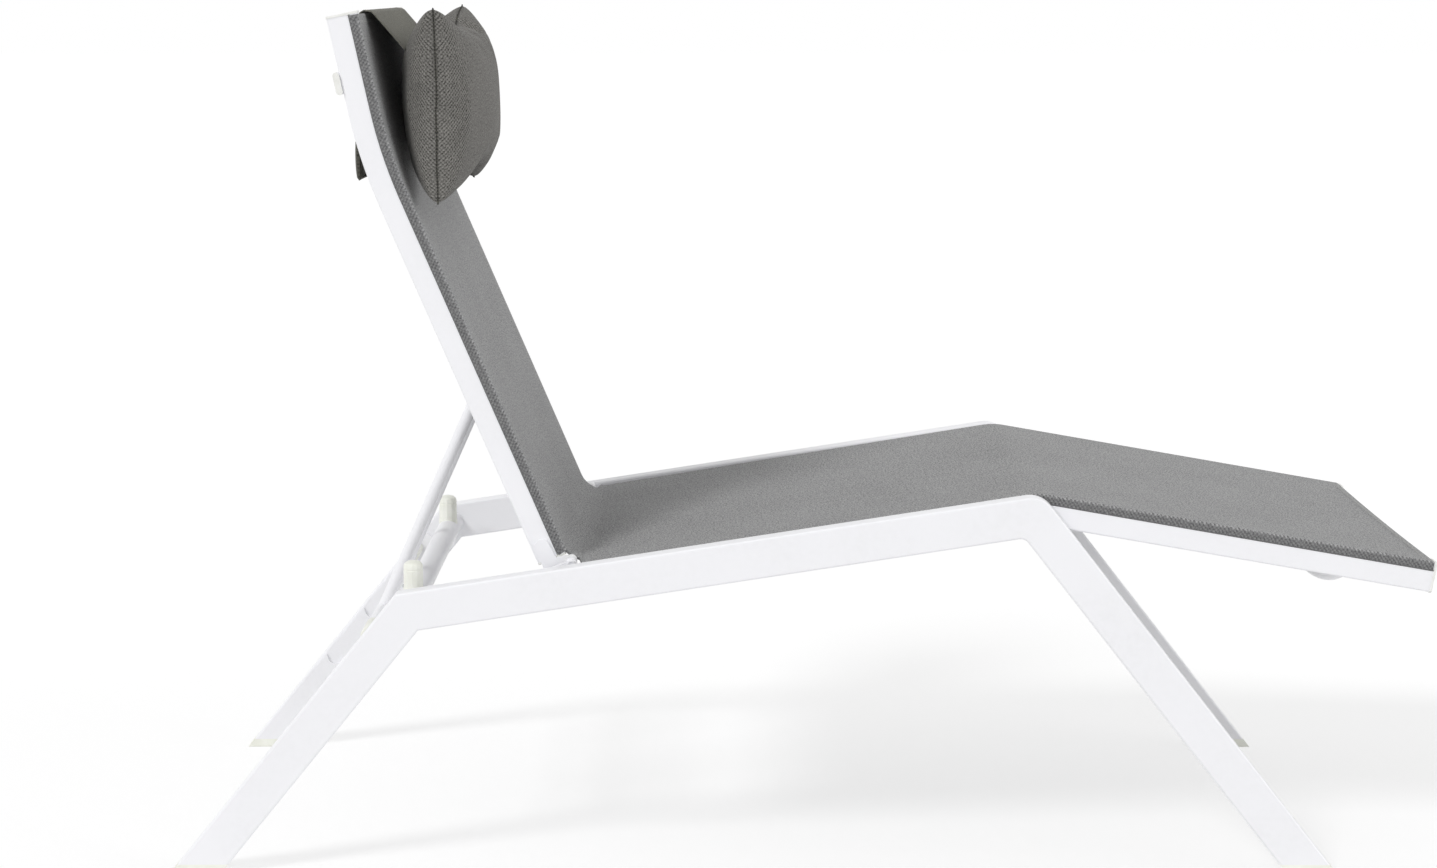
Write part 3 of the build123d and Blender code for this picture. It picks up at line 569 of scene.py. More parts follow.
def seen_rays(tree):
    """1 for what is seen directly, in a reflection or through glass, 0 for the light itself."""
    rays = add(tree, "ShaderNodeLightPath").outputs
    direct = maths(tree, "MAXIMUM", rays["Is Camera Ray"], rays["Is Glossy Ray"])
    return maths(tree, "MAXIMUM", direct, rays["Is Transmission Ray"])


def studio_floor(colour, shadow_share):
    """Matt white studio paper. Seen directly it is lit so that it reads as the photograph's white
    ground and still takes the shadow; to everything else it is plain white paper."""
    material, tree = new_material("studio_paper")
    paper = add(tree, "ShaderNodeBsdfPrincipled", {"Base Color": linear(colour), "Roughness": 0.9,
                                                   "Specular IOR Level": 0.0})
    shade = add(tree, "ShaderNodeBsdfDiffuse", {"Color": (shadow_share, shadow_share, shadow_share, 1.0)})
    glow = add(tree, "ShaderNodeEmission", {"Strength": 1.0 - shadow_share * 0.885})
    both = add(tree, "ShaderNodeAddShader", {0: shade.outputs[0], 1: glow.outputs[0]})
    chosen = add(tree, "ShaderNodeMixShader", {0: seen_rays(tree), 1: paper.outputs[0], 2: both.outputs[0]})
    add(tree, "ShaderNodeOutputMaterial", {"Surface": chosen.outputs[0]})
    return material


MATERIALS = {}


def finish(name):
    """The finish of that name, made once from the settings."""
    looks = bpy.context.scene.lounger_finishes
    pitch = looks.yarn_pitch
    makers = {
        "coat": lambda: powder_coat(looks.coat),
        "cream": lambda: nylon("cream_nylon", looks.nylon, "#ECEDE2"),
        "cap": lambda: nylon("white_cap_plastic", looks.cap, "#E4E4DF"),
        "steel": turned_steel,
        "sling": lambda: coated_mesh("sling_mesh", looks.sling, "#545455", pitch, 0.62, SLING_WIDTH),
        "pillow": lambda: coated_mesh("pillow_mesh", looks.pillow, "#31302D", pitch, 0.6),
        "strap": lambda: coated_mesh("strap_mesh", "#86857C", "#46453E", pitch, 0.5),
        # The flap's colours are the strap's cloth darkened with painted shade, for the shadow it hangs in
        # behind the backrest; the pillow's welt is drawn in this cloth too.
        "flap": lambda: coated_mesh("flap_mesh_painted_shade", "#63625A", "#33322D", pitch, 0.5),
        "dark_thread": lambda: thread("dark_sewing_thread", "#201F1E"),
        "grey_thread": lambda: thread("grey_sewing_thread", "#BCBCBA"),
    }
    if name not in MATERIALS:
        MATERIALS[name] = makers[name]()
    return MATERIALS[name]


def colour_setting(label, of_what, code):
    return FloatVectorProperty(name=label, description=f"Colour of {of_what}", subtype="COLOR_GAMMA",
                               size=3, min=0, max=1, default=picked(code))


def length_setting(label, what, least, most, usual):
    return FloatProperty(name=label, description=what, unit="LENGTH", min=least, max=most, default=usual)


class LoungerFinishes(bpy.types.PropertyGroup):
    """Colours and cloth of the lounger"""

    coat: colour_setting("Powder coat", "the coated tubes", "#F5F5F8")
    nylon: colour_setting("Nylon", "the feet, bumpers and stay ends", "#F6F7EF")
    cap: colour_setting("Caps", "the rail end caps", "#F1F1EE")
    sling: colour_setting("Sling", "the sling's yarn where it catches light", "#BEBEBE")
    pillow: colour_setting("Pillow", "the pillow's yarn where it catches light", "#8D8B87")
    yarn_pitch: length_setting("Yarn pitch", "Distance between drawn yarns", 0.0005, 0.01, 0.0026)


class LoungerSizes(bpy.types.PropertyGroup):
    """Sizes of the soft pieces and fittings"""

    seat_sag: length_setting("Seat sag", "How far the empty seat sling sags in the middle", 0, 0.03, 0.003)
    back_sag: length_setting("Back sag", "How far the empty back sling sags in the middle", 0, 0.03, 0.002)
    pillow_width: length_setting("Pillow width", "Pillow from ear to ear", 0.3, 0.6, 0.486)
    pillow_height: length_setting("Pillow height", "Pillow from tip to tip", 0.15, 0.3, 0.238)
    pillow_thickness: length_setting("Pillow thickness", "Pillow at its fullest", 0.04, 0.15, 0.118)
    stitch: length_setting("Stitch length", "Length of one stitch with its gap", 0.002, 0.01, 0.004)


def sling_line():
    """The rails' top line in the side view: from the foot end over the knee to the hinge, round the
    hinge on an arc where the cloth hangs free, and up the backrest. It ends short of the caps."""
    rise = RAIL_MIDDLE
    short = 0.0015
    on_foot = along(SEAT_KNEE, foot_down, -rise)
    on_seat = along(SEAT_KNEE, seat_down, -rise)
    corners = [along(along(SEAT_TIP, foot_dir, -short), foot_down, -rise),
               meet(on_foot, foot_dir, on_seat, seat_dir),
               meet(on_seat, seat_dir, on_back(0.0, RAIL_DEPTH), back_dir),
               meet(on_back(0.0, RAIL_DEPTH), back_dir, on_head(0.0, RAIL_DEPTH), head_dir),
               along(along(BACK_HIGH, head_dir, -short), head_out, rise)]
    return bent_path(corners, (KNEE_BEND + rise, HINGE_BEND, NECK_BEND - rise), 0.006)


def stations(line, tail, start):
    """The line again, with stations close together at both hems and over the hinge, where the cloth
    leaves the seat's rails at length tail and meets the backrest's at length start."""
    points, headings, lengths = line
    total = lengths[-1]
    near = np.array([0.0, 0.0004, 0.0008, 0.0012, 0.002, 0.004, 0.012, 0.0185, 0.020, 0.0215, 0.023, 0.026])
    off_hinge = (lengths < tail - 0.014) | (lengths > start + 0.014)
    inner = lengths[(lengths > 0.028) & (lengths < total - 0.028) & off_hinge]
    hinge = np.arange(tail - 0.013, start + 0.013, 0.0012)
    breaks = np.array([tail, tail + 0.0006, start - 0.0006, start])
    wanted = np.unique(np.concatenate([near, inner, hinge, breaks, total - near]).round(7))
    x, z, turn = (np.interp(wanted, lengths, row) for row in (*points.T, headings))
    return np.stack([x, z], -1), turn, wanted


def ease(x):
    """A smooth step from 0 to 1 as x goes from 0 to 1."""
    x = np.clip(x, 0.0, 1.0)
    return x * x * (3 - 2 * x)


def sling_part(line, tail, start, seat_sag, back_sag):
    """The whole sling as one closed loop per station, its inner skin one thickness inside its outer.
    On the rails the loop goes across the top with a shallow parabola of sag, round each top corner
    on a 2.4 mm arc, down the outer face and into the cord groove. Between tail and start, over the
    hinge, it is free: narrower, and its edge only a small roll. The last 20 mm at each end are a
    folded hem, one cloth thicker underneath, and the very edge is rounded over."""
    points, headings, lengths = line
    total = lengths[-1]
    free = (lengths > tail + 0.0003) & (lengths < start - 0.0003)
    to_seat = ease((lengths - tail - 0.0006) / 0.0055)
    to_back = ease((start - 0.0006 - lengths) / 0.004)
    outer = np.where(lengths < (tail + start) / 2, SEAT_RAIL_OUTER + (FREE_HALF - SEAT_RAIL_OUTER) * to_seat,
                     BACK_RAIL_OUTER + (FREE_HALF - BACK_RAIL_OUTER) * to_back)[:, None]
    wrap = np.where(free, 0.07, 1.0)[:, None]
    corner = 0.0024
    across = np.linspace(-1, 1, 49)[None]
    quarter = np.linspace(0, pi / 2, 6)[1:][None]
    fall = np.linspace(corner, BAND - 0.0004, 6)[1:][None]
    arc_y = outer - corner + corner * np.sin(quarter)
    arc_out = -wrap * corner * (1 - np.cos(quarter))
    tuck_y = outer - np.array([[0.0008, 0.0022]])
    right_y = np.concatenate([arc_y, outer + 0 * fall, tuck_y], 1)
    right_out = np.concatenate([arc_out, -wrap * fall, -wrap * np.full((1, 2), BAND + 0.0001)], 1)
    flat_y = across * (outer - corner)
    middle = np.stack([np.concatenate([-right_y[:, ::-1], flat_y, right_y], 1),
                       np.concatenate([right_out[:, ::-1], 0 * flat_y, right_out], 1)], -1)
    step = np.gradient(middle, axis=1)
    step /= np.linalg.norm(step, axis=2, keepdims=True)
    normal = np.stack([-step[..., 1], step[..., 0]], -1)

    edge = np.minimum(lengths, total - lengths)
    hem = 1.0 - np.clip((edge - HEM) / 0.003, 0, 1)
    soft = np.clip(edge / 0.0012, 0, 1) ** 0.5
    inside = outer - RAIL_WIDTH
    dip = np.clip(1 - (middle[..., 0] / inside) ** 2, 0.0, None)
    seat_share = np.interp(lengths, [tail - 0.05, start + 0.05], [1.0, 0.0])
    depth = np.interp(lengths, [0.0, 0.12, tail - 0.08, tail, start, start + 0.08, total - 0.12, total],
                      [0.55, 1.0, 1.0, 0.25, 0.25, 1.0, 1.0, 0.55])
    depth = depth * (seat_sag * seat_share + back_sag * (1 - seat_share))
    base = middle.copy()
    base[..., 1] -= dip * depth[:, None]
    fold = np.where(dip > 0, 0.9, 0.0) * hem[:, None] * SLING
    top_skin = base + normal * (SLING * (1.0 - 0.35 * (1 - soft)))[:, None, None]
    low_skin = base + normal * ((SLING * 0.35 * (1 - soft))[:, None] - fold * soft[:, None])[..., None]
    loop = np.concatenate([top_skin, low_skin[:, ::-1]], 1)
    run = run_lengths(middle[0])
    u = np.concatenate([run, run[::-1], run[:1]])
    return grid_part(carried(points, headings, loop, -1.0), u, lengths, "strip")


class LOUNGER_OT_frame(bpy.types.Operator):
    """Gives the coated frame, its caps and its plugs their finishes"""

    bl_idname = "lounger.frame"
    bl_label = "Frame finishes"

    def execute(self, context):
        looks = {
            "cream": ("foot_plug", "bumper", "stay_nylon", "hinge_washers", "seat_spacers", "pivot_collars",
                      "stay_ring", "seat_cords", "back_cords"),
            "cap": ("seat_end_cap", "seat_tail_caps", "back_top_cap", "back_low_caps", "back_top_tube_caps"),
            "steel": ("hinge_bracket_bolts", "hinge_nuts", "hinge_pins", "rack_screws", "seat_bolts",
                      "counterweight_bar"),
            "sling": ("seat_sling", "back_sling"),
            "pillow": ("headrest", "counterweight_flap"),
        }
        for name, made in NODES.items():
            look = next((look for look, starts in looks.items() if name.startswith(starts)), "coat")
            made.data.materials.clear()
            made.data.materials.append(finish(look))
        return {"FINISHED"}


class LOUNGER_OT_slings(bpy.types.Operator):
    """Stretches the seat and back slings over their rails, with their hems and stitches"""

    bl_idname = "lounger.slings"
    bl_label = "Slings"

    def execute(self, context):
        sizes = context.scene.lounger_sizes
        line = sling_line()
        x = -line[0][:, 0]
        tail, start = (float(np.interp(-at, x, line[2])) for at in (SEAT_RAIL_TAIL, BACK_RAIL_HEEL))
        line = stations(line, tail, start)
        cloth = piece("sling_cloth", [sling_part(line, tail, start, sizes.seat_sag, sizes.back_sag)],
                      "sling", None, ("seat_sling", "back_sling"), sharp=70)
        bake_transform(cloth)
        for name, body, outer, near in (("foot_end_stitches", "base", SEAT_RAIL_OUTER, 0.0),
                                        ("head_end_stitches", "backrest", BACK_RAIL_OUTER, line[2][-1])):
            rows = []
            for inset in (0.0085, 0.0105):
                rows += stitches_across(line, outer, abs(near - inset), sizes.stitch)
            piece(name, rows, "grey_thread", body)
        return {"FINISHED"}


def stitches_across(line, outer, at, length):
    """A row of stitches across the sling, square to the rails, at one distance along the line."""
    x, z, turn = at_length(line, at)
    out = np.array([sin(turn), 0.0, -cos(turn)])
    count = int(2 * (outer - 0.004) / length)
    y = (np.arange(count) - (count - 1) / 2) * length
    place = np.array([x, 0.0, z]) + out * (SLING + 0.00005)
    return stitch_row(place + np.stack([0 * y, y, 0 * y], -1), (0.0, 1.0, 0.0), out, length * 0.72, 0.0004)


class LOUNGER_OT_pillow(bpy.types.Operator):
    """Blows the headrest pillow up from two sewn panels and sews its edge"""

    bl_idname = "lounger.pillow"
    bl_label = "Headrest pillow"

    def execute(self, context):
        sizes = context.scene.lounger_sizes
        shell, rim = pillow_shell(sizes)
        low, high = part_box("headrest_pillow")
        made = piece("headrest_pillow_cover", [shell], "pillow", None,
                     ("headrest_pillow",), sharp=80)
        blow_up(made)
        settle(made, rim, low, high)
        edge = points_of(made.data)[rim]
        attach(made, "headrest")
        finer = made.modifiers.new("finer", "SUBSURF")
        finer.levels = 1
        finer.render_levels = 1
        edge_seam(edge, sizes.stitch)
        return {"FINISHED"}


def pillow_shell(sizes):
    """Two panels on one grid of u and v from -1 to 1, sewn together at the rim, a rectangle whose
    ends draw in as 1 - a (1 - v^2); each panel starts as a dome, the product of (1 - |u|^3)^0.4 and
    (1 - v^2)^0.47. The stuffing draws the edges in further and leaves the four ears."""
    half_w, half_h = sizes.pillow_width / 2, sizes.pillow_height / 2
    columns, rows = 105, 53
    swing = pi / 2 * 0.82
    u, v = (np.sin(np.linspace(-1, 1, count) * swing) / sin(swing) for count in (columns, rows))
    uu, vv = np.meshgrid(u, v)
    y = uu * half_w * (1.0 - 0.035 * (1 - vv ** 2))
    z = vv * half_h
    dome = (1 - abs(uu) ** 3) ** 0.4 * (1 - vv ** 2) ** 0.47
    start = sizes.pillow_thickness * 0.45
    front, back = (np.stack([side * start * dome, y, z], -1) for side in (1, -1))
    number = np.arange(rows * columns).reshape(rows, columns)
    inner = np.zeros((rows, columns), bool)
    inner[1:-1, 1:-1] = True
    back_number = number.copy()
    back_number[inner] = rows * columns + np.arange(inner.sum())
    faces = []
    uvs = []
    for table, panel, flip in ((number, front, False), (back_number, back, True)):
        flat = cut_out(panel)
        quads = np.stack([table[:-1, :-1], table[:-1, 1:], table[1:, 1:], table[1:, :-1]], -1)
        places = np.stack([flat[:-1, :-1], flat[:-1, 1:], flat[1:, 1:], flat[1:, :-1]], -2)
        if flip:
            quads = quads[..., ::-1]
            places = places[..., ::-1, :]
        faces += quads.reshape(-1, 4).tolist()
        uvs.append(places.reshape(-1, 2))
    ring = np.concatenate([number[0, :-1], number[:-1, -1], number[-1, :0:-1], number[:0:-1, 0]])
    points = np.concatenate([front.reshape(-1, 3), back[inner]])
    return {"points": points, "faces": faces, "uvs": np.concatenate(uvs)}, ring


def cut_out(panel):
    """Where each point of a panel lies on the flat cloth: its lengths along the row and the column."""
    across = np.cumsum(np.linalg.norm(np.diff(panel, axis=1, prepend=panel[:, :1]), axis=2), axis=1)
    up = np.cumsum(np.linalg.norm(np.diff(panel, axis=0, prepend=panel[:1]), axis=2), axis=0)
    rows, columns = across.shape
    return np.stack([across - across[:, columns // 2][:, None], up - up[rows // 2]], -1)


def blow_up(made):
    """Inflates the sewn panels with the cloth solver: pressure inside, no gravity, stiff cloth that
    wrinkles where the rim is drawn in. The result is written to the mesh and the solver removed."""
    scene = bpy.context.scene
    cloth = made.modifiers.new("stuffing", "CLOTH")
    for name, value in (("quality", 7), ("mass", 0.25), ("tension_stiffness", 32),
                        ("compression_stiffness", 14), ("shear_stiffness", 10), ("bending_stiffness", 0.35),
                        ("tension_damping", 10), ("compression_damping", 10), ("air_damping", 2),
                        ("use_pressure", True), ("uniform_pressure_force", 5.0)):
        setattr(cloth.settings, name, value)
    cloth.settings.effector_weights.gravity = 0
    cloth.point_cache.frame_start = 1
    cloth.point_cache.frame_end = CLOTH_FRAMES
    for number in range(1, CLOTH_FRAMES + 1):
        scene.frame_set(number)
    solved = made.evaluated_get(bpy.context.evaluated_depsgraph_get())
    points = points_of(solved.to_mesh())
    solved.to_mesh_clear()
    made.modifiers.remove(cloth)
    made.data.vertices.foreach_set("co", points.ravel())
    made.data.update()
    scene.frame_set(1)


def settle(made, rim, low, high):
    """Fits the blown-up pillow to the space it holds: width and height are scaled about the middle,
    each half swells from the seam's plane to its own depth, with its distance to PILLOW_POWER,
    and the seam leans back at the top and hangs back a little at its far upper ear."""
    mesh = made.data
    co = points_of(mesh)
    low, high = np.array(low), np.array(high)
    depth = co[:, 0] - co[rim, 0].mean()
    share = np.where(depth > 0, depth / depth.max(), depth / depth.min())
    depth = np.where(depth > 0, PILLOW_FRONT, -PILLOW_BACK) * share ** PILLOW_POWER
    span = co.max(0) - co.min(0)
    co = (co - (co.max(0) + co.min(0)) / 2) * ((high - low) / span)
    twist = PILLOW_TWIST * co[:, 1] / high[1] * (0.5 + co[:, 2] / (high[2] - low[2]))
    co[:, 0] = PILLOW_SEAM + depth - co[:, 2] * tan(radians(PILLOW_LEAN)) - twist
    co[:, 1:] += (high[1:] + low[1:]) / 2
    mesh.vertices.foreach_set("co", co.ravel())
    mesh.update()


def edge_seam(edge, stitch):
    """The sewn edge: a thin rolled welt along the rim and a row of dark stitches on it."""
    closed = np.concatenate([edge, edge[:1]])
    lengths = run_lengths(closed)
    wanted = np.linspace(0, lengths[-1], int(lengths[-1] / stitch), endpoint=False)
    path = np.stack([np.interp(wanted, lengths, closed[:, k]) for k in range(3)], -1)
    ring = np.concatenate([path, path[:1]])
    # The welt is drawn in the flap's cloth, whose colours carry painted shade.
    piece("headrest_pillow_welt", [path_tube(ring, WELT, 10)], "flap", "headrest")
    along_line = np.roll(path, -1, 0) - path
    along_line /= np.linalg.norm(along_line, axis=1, keepdims=True)
    out = path - path.mean(0)
    out[:, 0] = 0
    out -= along_line * np.sum(out * along_line, 1, keepdims=True)
    out /= np.linalg.norm(out, axis=1, keepdims=True)
    piece("headrest_pillow_stitches", stitch_row(path + out * 0.0009, along_line, out, 0.0030, 0.0008),
          "dark_thread", "headrest")


class LOUNGER_OT_strap(bpy.types.Operator):
    """Hangs the pillow's strap over the top edge, with the weighted flap on its other end"""

    bl_idname = "lounger.strap"
    bl_label = "Strap and flap"

    def execute(self, context):
        sizes = context.scene.lounger_sizes
        over = (TOP_EDGE[0] + 0.0006, TOP_EDGE[1] + 0.002)
        front = [(-0.4940, 1.0255), (TOP_EDGE[0] + 0.0095, TOP_EDGE[1] + 0.001), over]
        low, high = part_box("counterweight_flap")
        back = [(over[0] - 0.001, over[1]), (over[0] - 0.0065, TOP_EDGE[1] - 0.001),
                ((low.x + high.x) / 2, high.z + 0.0015)]
        jobs = (("headrest_strap_front_cloth", "headrest_strap_front", front, "headrest", 0.008),
                ("headrest_strap_back_cloth", "headrest_strap_back", back, "counterweight", 0.004))
        for name, node, line, far_body, bend in jobs:
            points, headings, lengths = bent_path(line, (bend,), 0.006)
            loop = strap_loop(STRAP_HALF, STRAP_THICK)
            band = carried(points, headings, loop, 1.0)
            u = run_lengths(np.concatenate([loop, loop[:1]]))
            cloth = piece(name, [grid_part(band, u, lengths, "strip")], "strap", None,
                          (node,), sharp=60)
            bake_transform(cloth)
        flap_pocket(low, high, sizes.stitch)
        return {"FINISHED"}


def strap_loop(half, thickness):
    """The strap's cross section: a flat band whose two long edges are round and a hem thicker."""
    t = np.linspace(-1, 1, 41)
    thick = np.where(abs(t) > 0.93, thickness * 0.72, thickness * 0.5)
    thick = thick * np.clip((1 - abs(t)) / 0.004, 0.25, 1.0) ** 0.5
    upper = np.stack([t * half, thick], -1)
    lower = np.stack([t[::-1] * half, -thick[::-1]], -1)
    return np.concatenate([upper, lower])


def flap_pocket(low, high, stitch):
    """The weighted flap: a pocket of cloth over a flat bar. Each station up its height is a long
    rounded loop; its thickness swells over the bar and thins to the sewn edges above and below."""
    z = np.linspace(0, 1, 29)
    swell = np.clip(np.sin(pi * np.clip((z + 0.02) / 1.02, 0, 1)), 0, 1) ** 0.35
    depth = (high.x - low.x) * (0.22 + 0.78 * swell)
    depth[0] = depth[-1] = 0.0014
    rows = []
    y = np.linspace(-1, 1, 41)
    half = high.y
    middle = (low.x + high.x) / 2
    end = np.clip((1 - abs(y)) / 0.05, 0.12, 1.0) ** 0.5
    levels = low.z + (high.z - low.z) * z
    for share, level, deep in zip(z, levels, depth):
        wave = 0.0006 * np.sin(y * 9.0 + share * 3.0)
        front, rear = (np.stack([middle + side * deep / 2 * end + wave, y * half, np.full(41, level)], -1)
                       for side in (1, -1))
        rows.append(np.concatenate([front, rear[::-1]]))
    u = np.concatenate([y * half, y[::-1] * half, y[:1] * half])
    # The pocket's cloth is the flap finish, darkened with painted shade.
    cover = piece("counterweight_pocket", [grid_part(np.array(rows), u, levels, "strip")],
                  "flap", "counterweight", ("counterweight_flap",), sharp=60)
    count = int(2 * (half - 0.006) / stitch)
    across = (np.arange(count) - (count - 1) / 2) * stitch
    rows = []
    for level in (low.z + 0.004, high.z - 0.004):
        share = (level - low.z) / (high.z - low.z)
        deep = float(np.interp(share, z, depth)) / 2 + 0.0002
        for side in (-1, 1):
            place = np.stack([np.full(count, middle + side * deep), across, np.full(count, level)], -1)
            rows += stitch_row(place, (0.0, 1.0, 0.0), (float(side), 0.0, 0.0), stitch * 0.72, 0.0005)
    piece("counterweight_pocket_stitches", rows, "dark_thread", "counterweight")


class LOUNGER_OT_tubes(bpy.types.Operator):
    """Draws the round cross tubes and the bow, with a small weld bead where each meets its frame"""

    bl_idname = "lounger.tubes"
    bl_label = "Cross tubes"

    def execute(self, context):
        jobs = (
            ("rear_cross_tube", FRAME_INNER, 0.015, "base"),
            ("front_cross_tube", FRAME_INNER, 0.015, "base"),
            ("seat_cross_tube", SEAT_RAIL_OUTER - RAIL_WIDTH, 0.0125, "base"),
            ("back_pivot_tube", BACK_RAIL_OUTER - RAIL_WIDTH, 0.0125, "backrest"),
            ("back_low_tube", BACK_RAIL_OUTER - RAIL_WIDTH, 0.011, "backrest"),
        )
        for node, half, radius, body in jobs:
            stand_in(node, "round", [welded_bar(box_middle(node), half, radius)], "coat", body)
        low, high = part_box("foot_spreader_bow")
        radius = 0.010
        half = 0.250
        drop = 0.056
        reach = (half ** 2 + drop ** 2) / (2 * drop)
        spread = np.arcsin(half / reach)
        angle = np.linspace(-spread, spread, 61)
        x = (low.x + high.x) / 2
        z = low.z + radius + reach * (1 - np.cos(angle))
        path = np.stack([np.full(61, x), reach * np.sin(angle), z], -1)
        stand_in("foot_spreader_bow", "round", [path_tube(path, bead(path, radius))], "coat", "base")
        return {"FINISHED"}


def bead(path, radius):
    """The radius along a welded tube: the tube's own, swelling by 1.6 mm over the last 3.5 mm."""
    lengths = run_lengths(path)
    edge = np.minimum(lengths, lengths[-1] - lengths)
    return radius + 0.0016 * np.sqrt(np.clip(1 - edge / 0.0035, 0, 1))


def welded_bar(middle, half, radius):
    """A straight tube across the lounger with a weld bead at both ends."""
    near = np.array([0.0, 0.0006, 0.0012, 0.0018, 0.0024, 0.003, 0.0036])
    y = np.concatenate([-half + near, np.linspace(-half + 0.02, half - 0.02, 9), half - near[::-1]])
    path = np.stack([np.full(len(y), middle[0]), y, np.full(len(y), middle[1])], -1)
    return path_tube(path, bead(path, radius), 36, (0.0, 1.0, 0.0))


class LOUNGER_OT_stay(bpy.types.Operator):
    """Draws the prop stay: its two legs, rings, foot bar and nylon ends"""

    bl_idname = "lounger.stay"
    bl_label = "Prop stay"

    def execute(self, context):
        start = along(STAY_PIVOT, stay_dir, 0.0150)
        end = along(STAY_PIVOT, stay_dir, STAY_LENGTH - 0.006)
        for side_name, side in SIDES.items():
            y = side * STAY_LEG_Y
            path = np.linspace((start[0], y, start[1]), (end[0], y, end[1]), 24)
            stand_in(f"stay_leg_{side_name}", "round", [path_tube(path, 0.0075)], "coat", "stay")
            ring = ring_part(STAY_PIVOT, y - 0.012, y + 0.012, 0.01258, 0.0165)
            stand_in(f"stay_ring_{side_name}", "round", [ring], "cream", "stay")
            low, high = sorted((side * 0.214, side * 0.274))
            outline = [(0.0, 0.0084), (0.0006, 0.0092), (0.0020, 0.0100), (0.0580, 0.0100), (0.0594, 0.0096),
                       (0.0600, 0.0086)]
            if side < 0:
                outline = [(0.06 - a, r) for a, r in reversed(outline)]
            end_piece = turned((STAY_FOOT[0], low, STAY_FOOT[1]), (0, 1, 0), outline, 36)
            stand_in(f"stay_nylon_end_{side_name}", "round", [end_piece], "cream", "stay")
        bar = turned((STAY_FOOT[0], -BAR_HALF, STAY_FOOT[1]), (0, 1, 0),
                     rounded_edges(0, 2 * BAR_HALF, 0.008), 32)
        stand_in("stay_foot_bar", "round", [bar], "coat", "stay")
        collars = []
        for side in SIDES.values():
            for inner in (STAY_LEG_Y - 0.0183, STAY_LEG_Y + 0.0123):
                low, high = sorted((side * inner, side * (inner + 0.006)))
                collars.append(ring_part(STAY_PIVOT, low, high, 0.0125, 0.016))
        stand_in("pivot_collars", "round", collars, "cream", "backrest")
        return {"FINISHED"}


def ring_part(point, low, high, bore, radius):
    """A turned ring across the lounger: one closed outline of (y, radius) carried round the axis."""
    outline = np.array([(low, bore)] + rounded_edges(low, high, radius) + [(high, bore)])
    angle = np.linspace(0, 2 * pi, 48, endpoint=False)
    x = point[0] + np.cos(angle)[:, None] * outline[None, :, 1]
    z = point[1] + np.sin(angle)[:, None] * outline[None, :, 1]
    points = np.stack([x, np.broadcast_to(outline[None, :, 0], x.shape), z], -1)
    points = np.concatenate([points, points[:1]])
    return grid_part(points, ends=None)


class LOUNGER_OT_bumpers(bpy.types.Operator):
    """Draws the two moulded bumpers on the rear cross tube"""

    bl_idname = "lounger.bumpers"
    bl_label = "Bumpers"

    def execute(self, context):
        for side_name in SIDES:
            low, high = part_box(f"bumper_{side_name}")
            x, y = (low.x + high.x) / 2, (low.y + high.y) / 2
            tall = high.z - low.z
            outline = [(0.0, 0.0130), (0.0070, 0.0130), (0.0078, 0.0124)]
            outline += [(tall - down, radius) for down, radius in (
                (0.0125, 0.0124), (0.0118, 0.0119), (0.0112, 0.0119), (0.0104, 0.0124), (0.0062, 0.0122),
                (0.0034, 0.0108), (0.0014, 0.0080), (0.0004, 0.0045), (0.0, 0.0))]
            body = turned((x, y, low.z), (0, 0, 1), outline, 12)
            stand_in(f"bumper_{side_name}", "moulded", [body], "cream", "base", 25)
        return {"FINISHED"}


class LOUNGER_OT_fasteners(bpy.types.Operator):
    """Draws the hinge pins with their domed heads"""

    bl_idname = "lounger.fasteners"
    bl_label = "Hinge pins"

    def execute(self, context):
        heads = []
        for side in SIDES.values():
            outline = [(0.0, 0.0), (0.0, 0.0034), (0.0006, 0.0040), (0.0230, 0.0040), (0.0230, 0.0055),
                       (0.0252, 0.0055), (0.0264, 0.0048), (0.0270, 0.0034), (0.0270, 0.0022),
                       (0.0252, 0.0020), (0.0252, 0.0)]
            heads.append(turned((HINGE[0], side * 0.241, HINGE[1]), (0, side, 0), outline, 36))
        stand_in("hinge_pins", "turned", heads, "coat", "base")
        return {"FINISHED"}


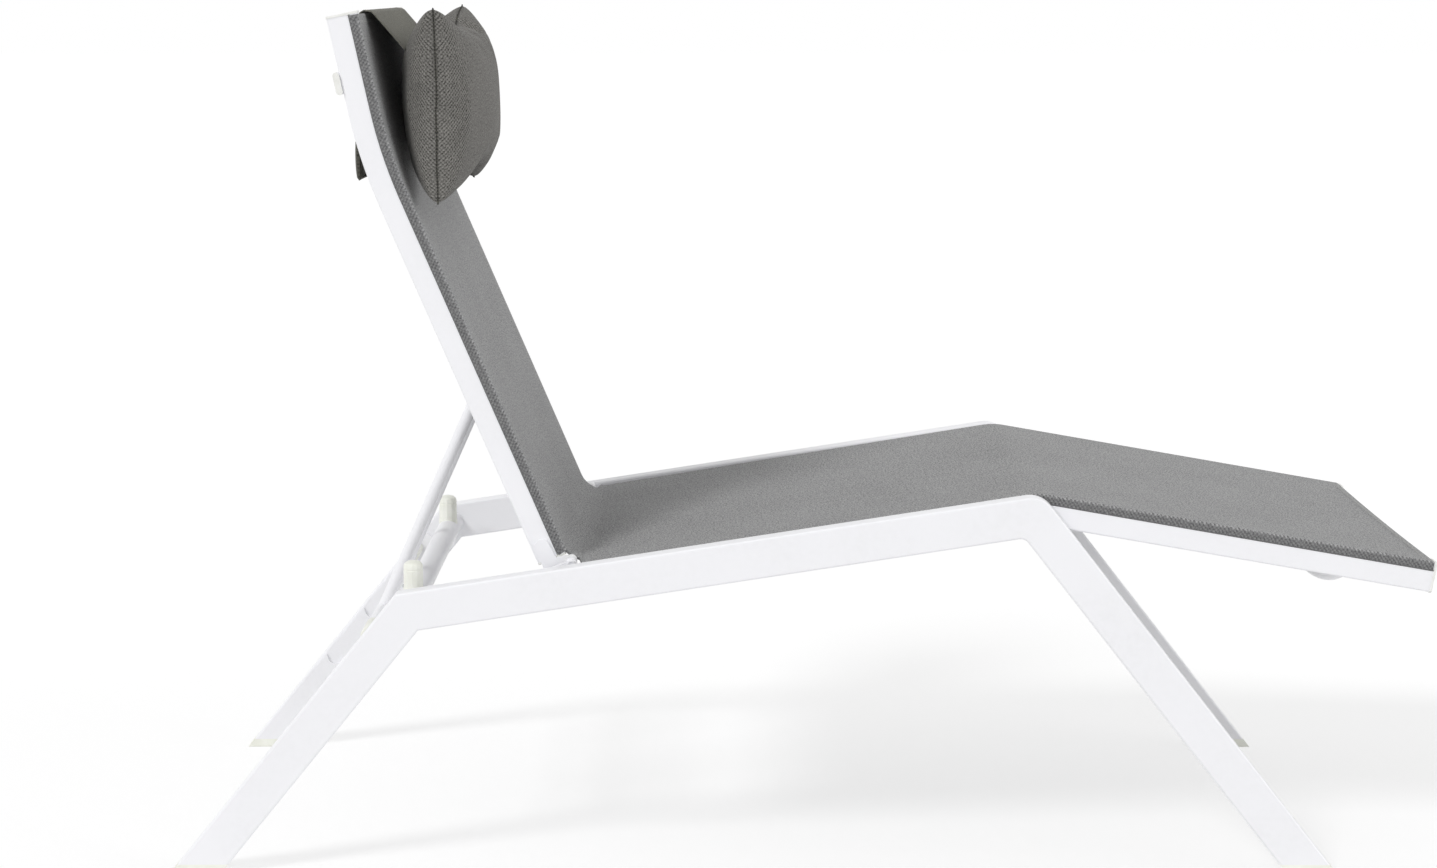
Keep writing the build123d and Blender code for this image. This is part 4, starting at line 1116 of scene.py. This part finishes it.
class LOUNGER_OT_stage(bpy.types.Operator):
    """Sets the white studio floor, the soft lights and the camera at the photograph's angle"""

    bl_idname = "lounger.stage"
    bl_label = "Studio"

    def execute(self, context):
        scene = context.scene
        corners = np.array([[-40.0, -40.0, 0.0], [40.0, -40.0, 0.0], [40.0, 40.0, 0.0], [-40.0, 40.0, 0.0]])
        mesh = bpy.data.meshes.new("studio_floor")
        mesh.from_pydata(corners.tolist(), [], [[0, 1, 2, 3]])
        mesh.materials.append(studio_floor("#F4F4F4", 0.45))
        floor = placed("studio_floor", mesh)

        world = bpy.data.worlds.new("studio")
        scene.world = world
        world.use_nodes = True
        tree = world.node_tree
        tree.nodes.clear()
        strength = ramp(tree, seen_rays(tree), 0.0, 1.0, scene.lounger_light.dome, 1.0)
        back = add(tree, "ShaderNodeBackground", {"Color": (1.0, 1.0, 1.0, 1.0), "Strength": strength})
        add(tree, "ShaderNodeOutputWorld", {"Surface": back.outputs[0]})

        for name, strength, spread, direction in (
                ("key_lamp", scene.lounger_light.key, 14.0, (0.64, 0.6, -0.8)),
                ("fill_lamp", scene.lounger_light.fill, 40.0, (-0.95, 0.3, -0.05))):
            lamp = bpy.data.lights.new(name, "SUN")
            lamp.energy = strength
            lamp.angle = radians(spread)
            placed(name, lamp).rotation_euler = Vector(direction).to_track_quat("-Z", "Y").to_euler()

        camera = bpy.data.cameras.new("camera")
        camera.sensor_fit = "HORIZONTAL"
        camera.sensor_width = 36.0
        camera.lens = LENS
        camera.clip_end = 200.0
        scene.camera = placed("camera", camera)
        scene.camera.location = (-0.0999, -3.625, 1.107)
        scene.camera.rotation_euler = (radians(90 - CAMERA_DOWN), 0.0, radians(0.05))
        scene.view_settings.view_transform = "Standard"
        return {"FINISHED"}


class LoungerLight(bpy.types.PropertyGroup):
    """Light of the studio"""

    dome: FloatProperty(name="Dome", description="Soft light from all round", min=0, max=3, default=0.62)
    key: FloatProperty(name="Key", description="Main lamp", min=0, max=10, default=1.2)
    fill: FloatProperty(name="Fill", description="Lamp at the foot end", min=0, max=10, default=1.2)


class LOUNGER_PT_panel(bpy.types.Panel):
    """Lists the lounger's pieces, sizes and finishes"""

    bl_idname = "LOUNGER_PT_panel"
    bl_label = "Sun lounger"
    bl_space_type = "VIEW_3D"
    bl_region_type = "UI"
    bl_category = "Lounger"

    def draw(self, context):
        for step in STEPS:
            self.layout.operator(step.bl_idname)
        for group in GROUPS:
            settings = getattr(context.scene, group)
            box = self.layout.box()
            for name in settings.__annotations__:
                box.prop(settings, name)


STEPS = (LOUNGER_OT_frame, LOUNGER_OT_slings, LOUNGER_OT_pillow, LOUNGER_OT_strap, LOUNGER_OT_tubes,
         LOUNGER_OT_stay, LOUNGER_OT_bumpers, LOUNGER_OT_fasteners, LOUNGER_OT_stage)
GROUPS = {"lounger_sizes": LoungerSizes, "lounger_finishes": LoungerFinishes, "lounger_light": LoungerLight}


def register():
    for group in GROUPS.values():
        bpy.utils.register_class(group)
    for name, group in GROUPS.items():
        setattr(bpy.types.Scene, name, PointerProperty(type=group))
    for step in STEPS + (LOUNGER_PT_panel,):
        bpy.utils.register_class(step)


def unregister():
    for step in (LOUNGER_PT_panel,) + STEPS[::-1]:
        bpy.utils.unregister_class(step)
    for name, group in GROUPS.items():
        delattr(bpy.types.Scene, name)
        bpy.utils.unregister_class(group)


def main():
    register()
    for step in STEPS:
        family, name = step.bl_idname.split(".")
        getattr(getattr(bpy.ops, family), name)()


if __name__ == "__main__":
    main()
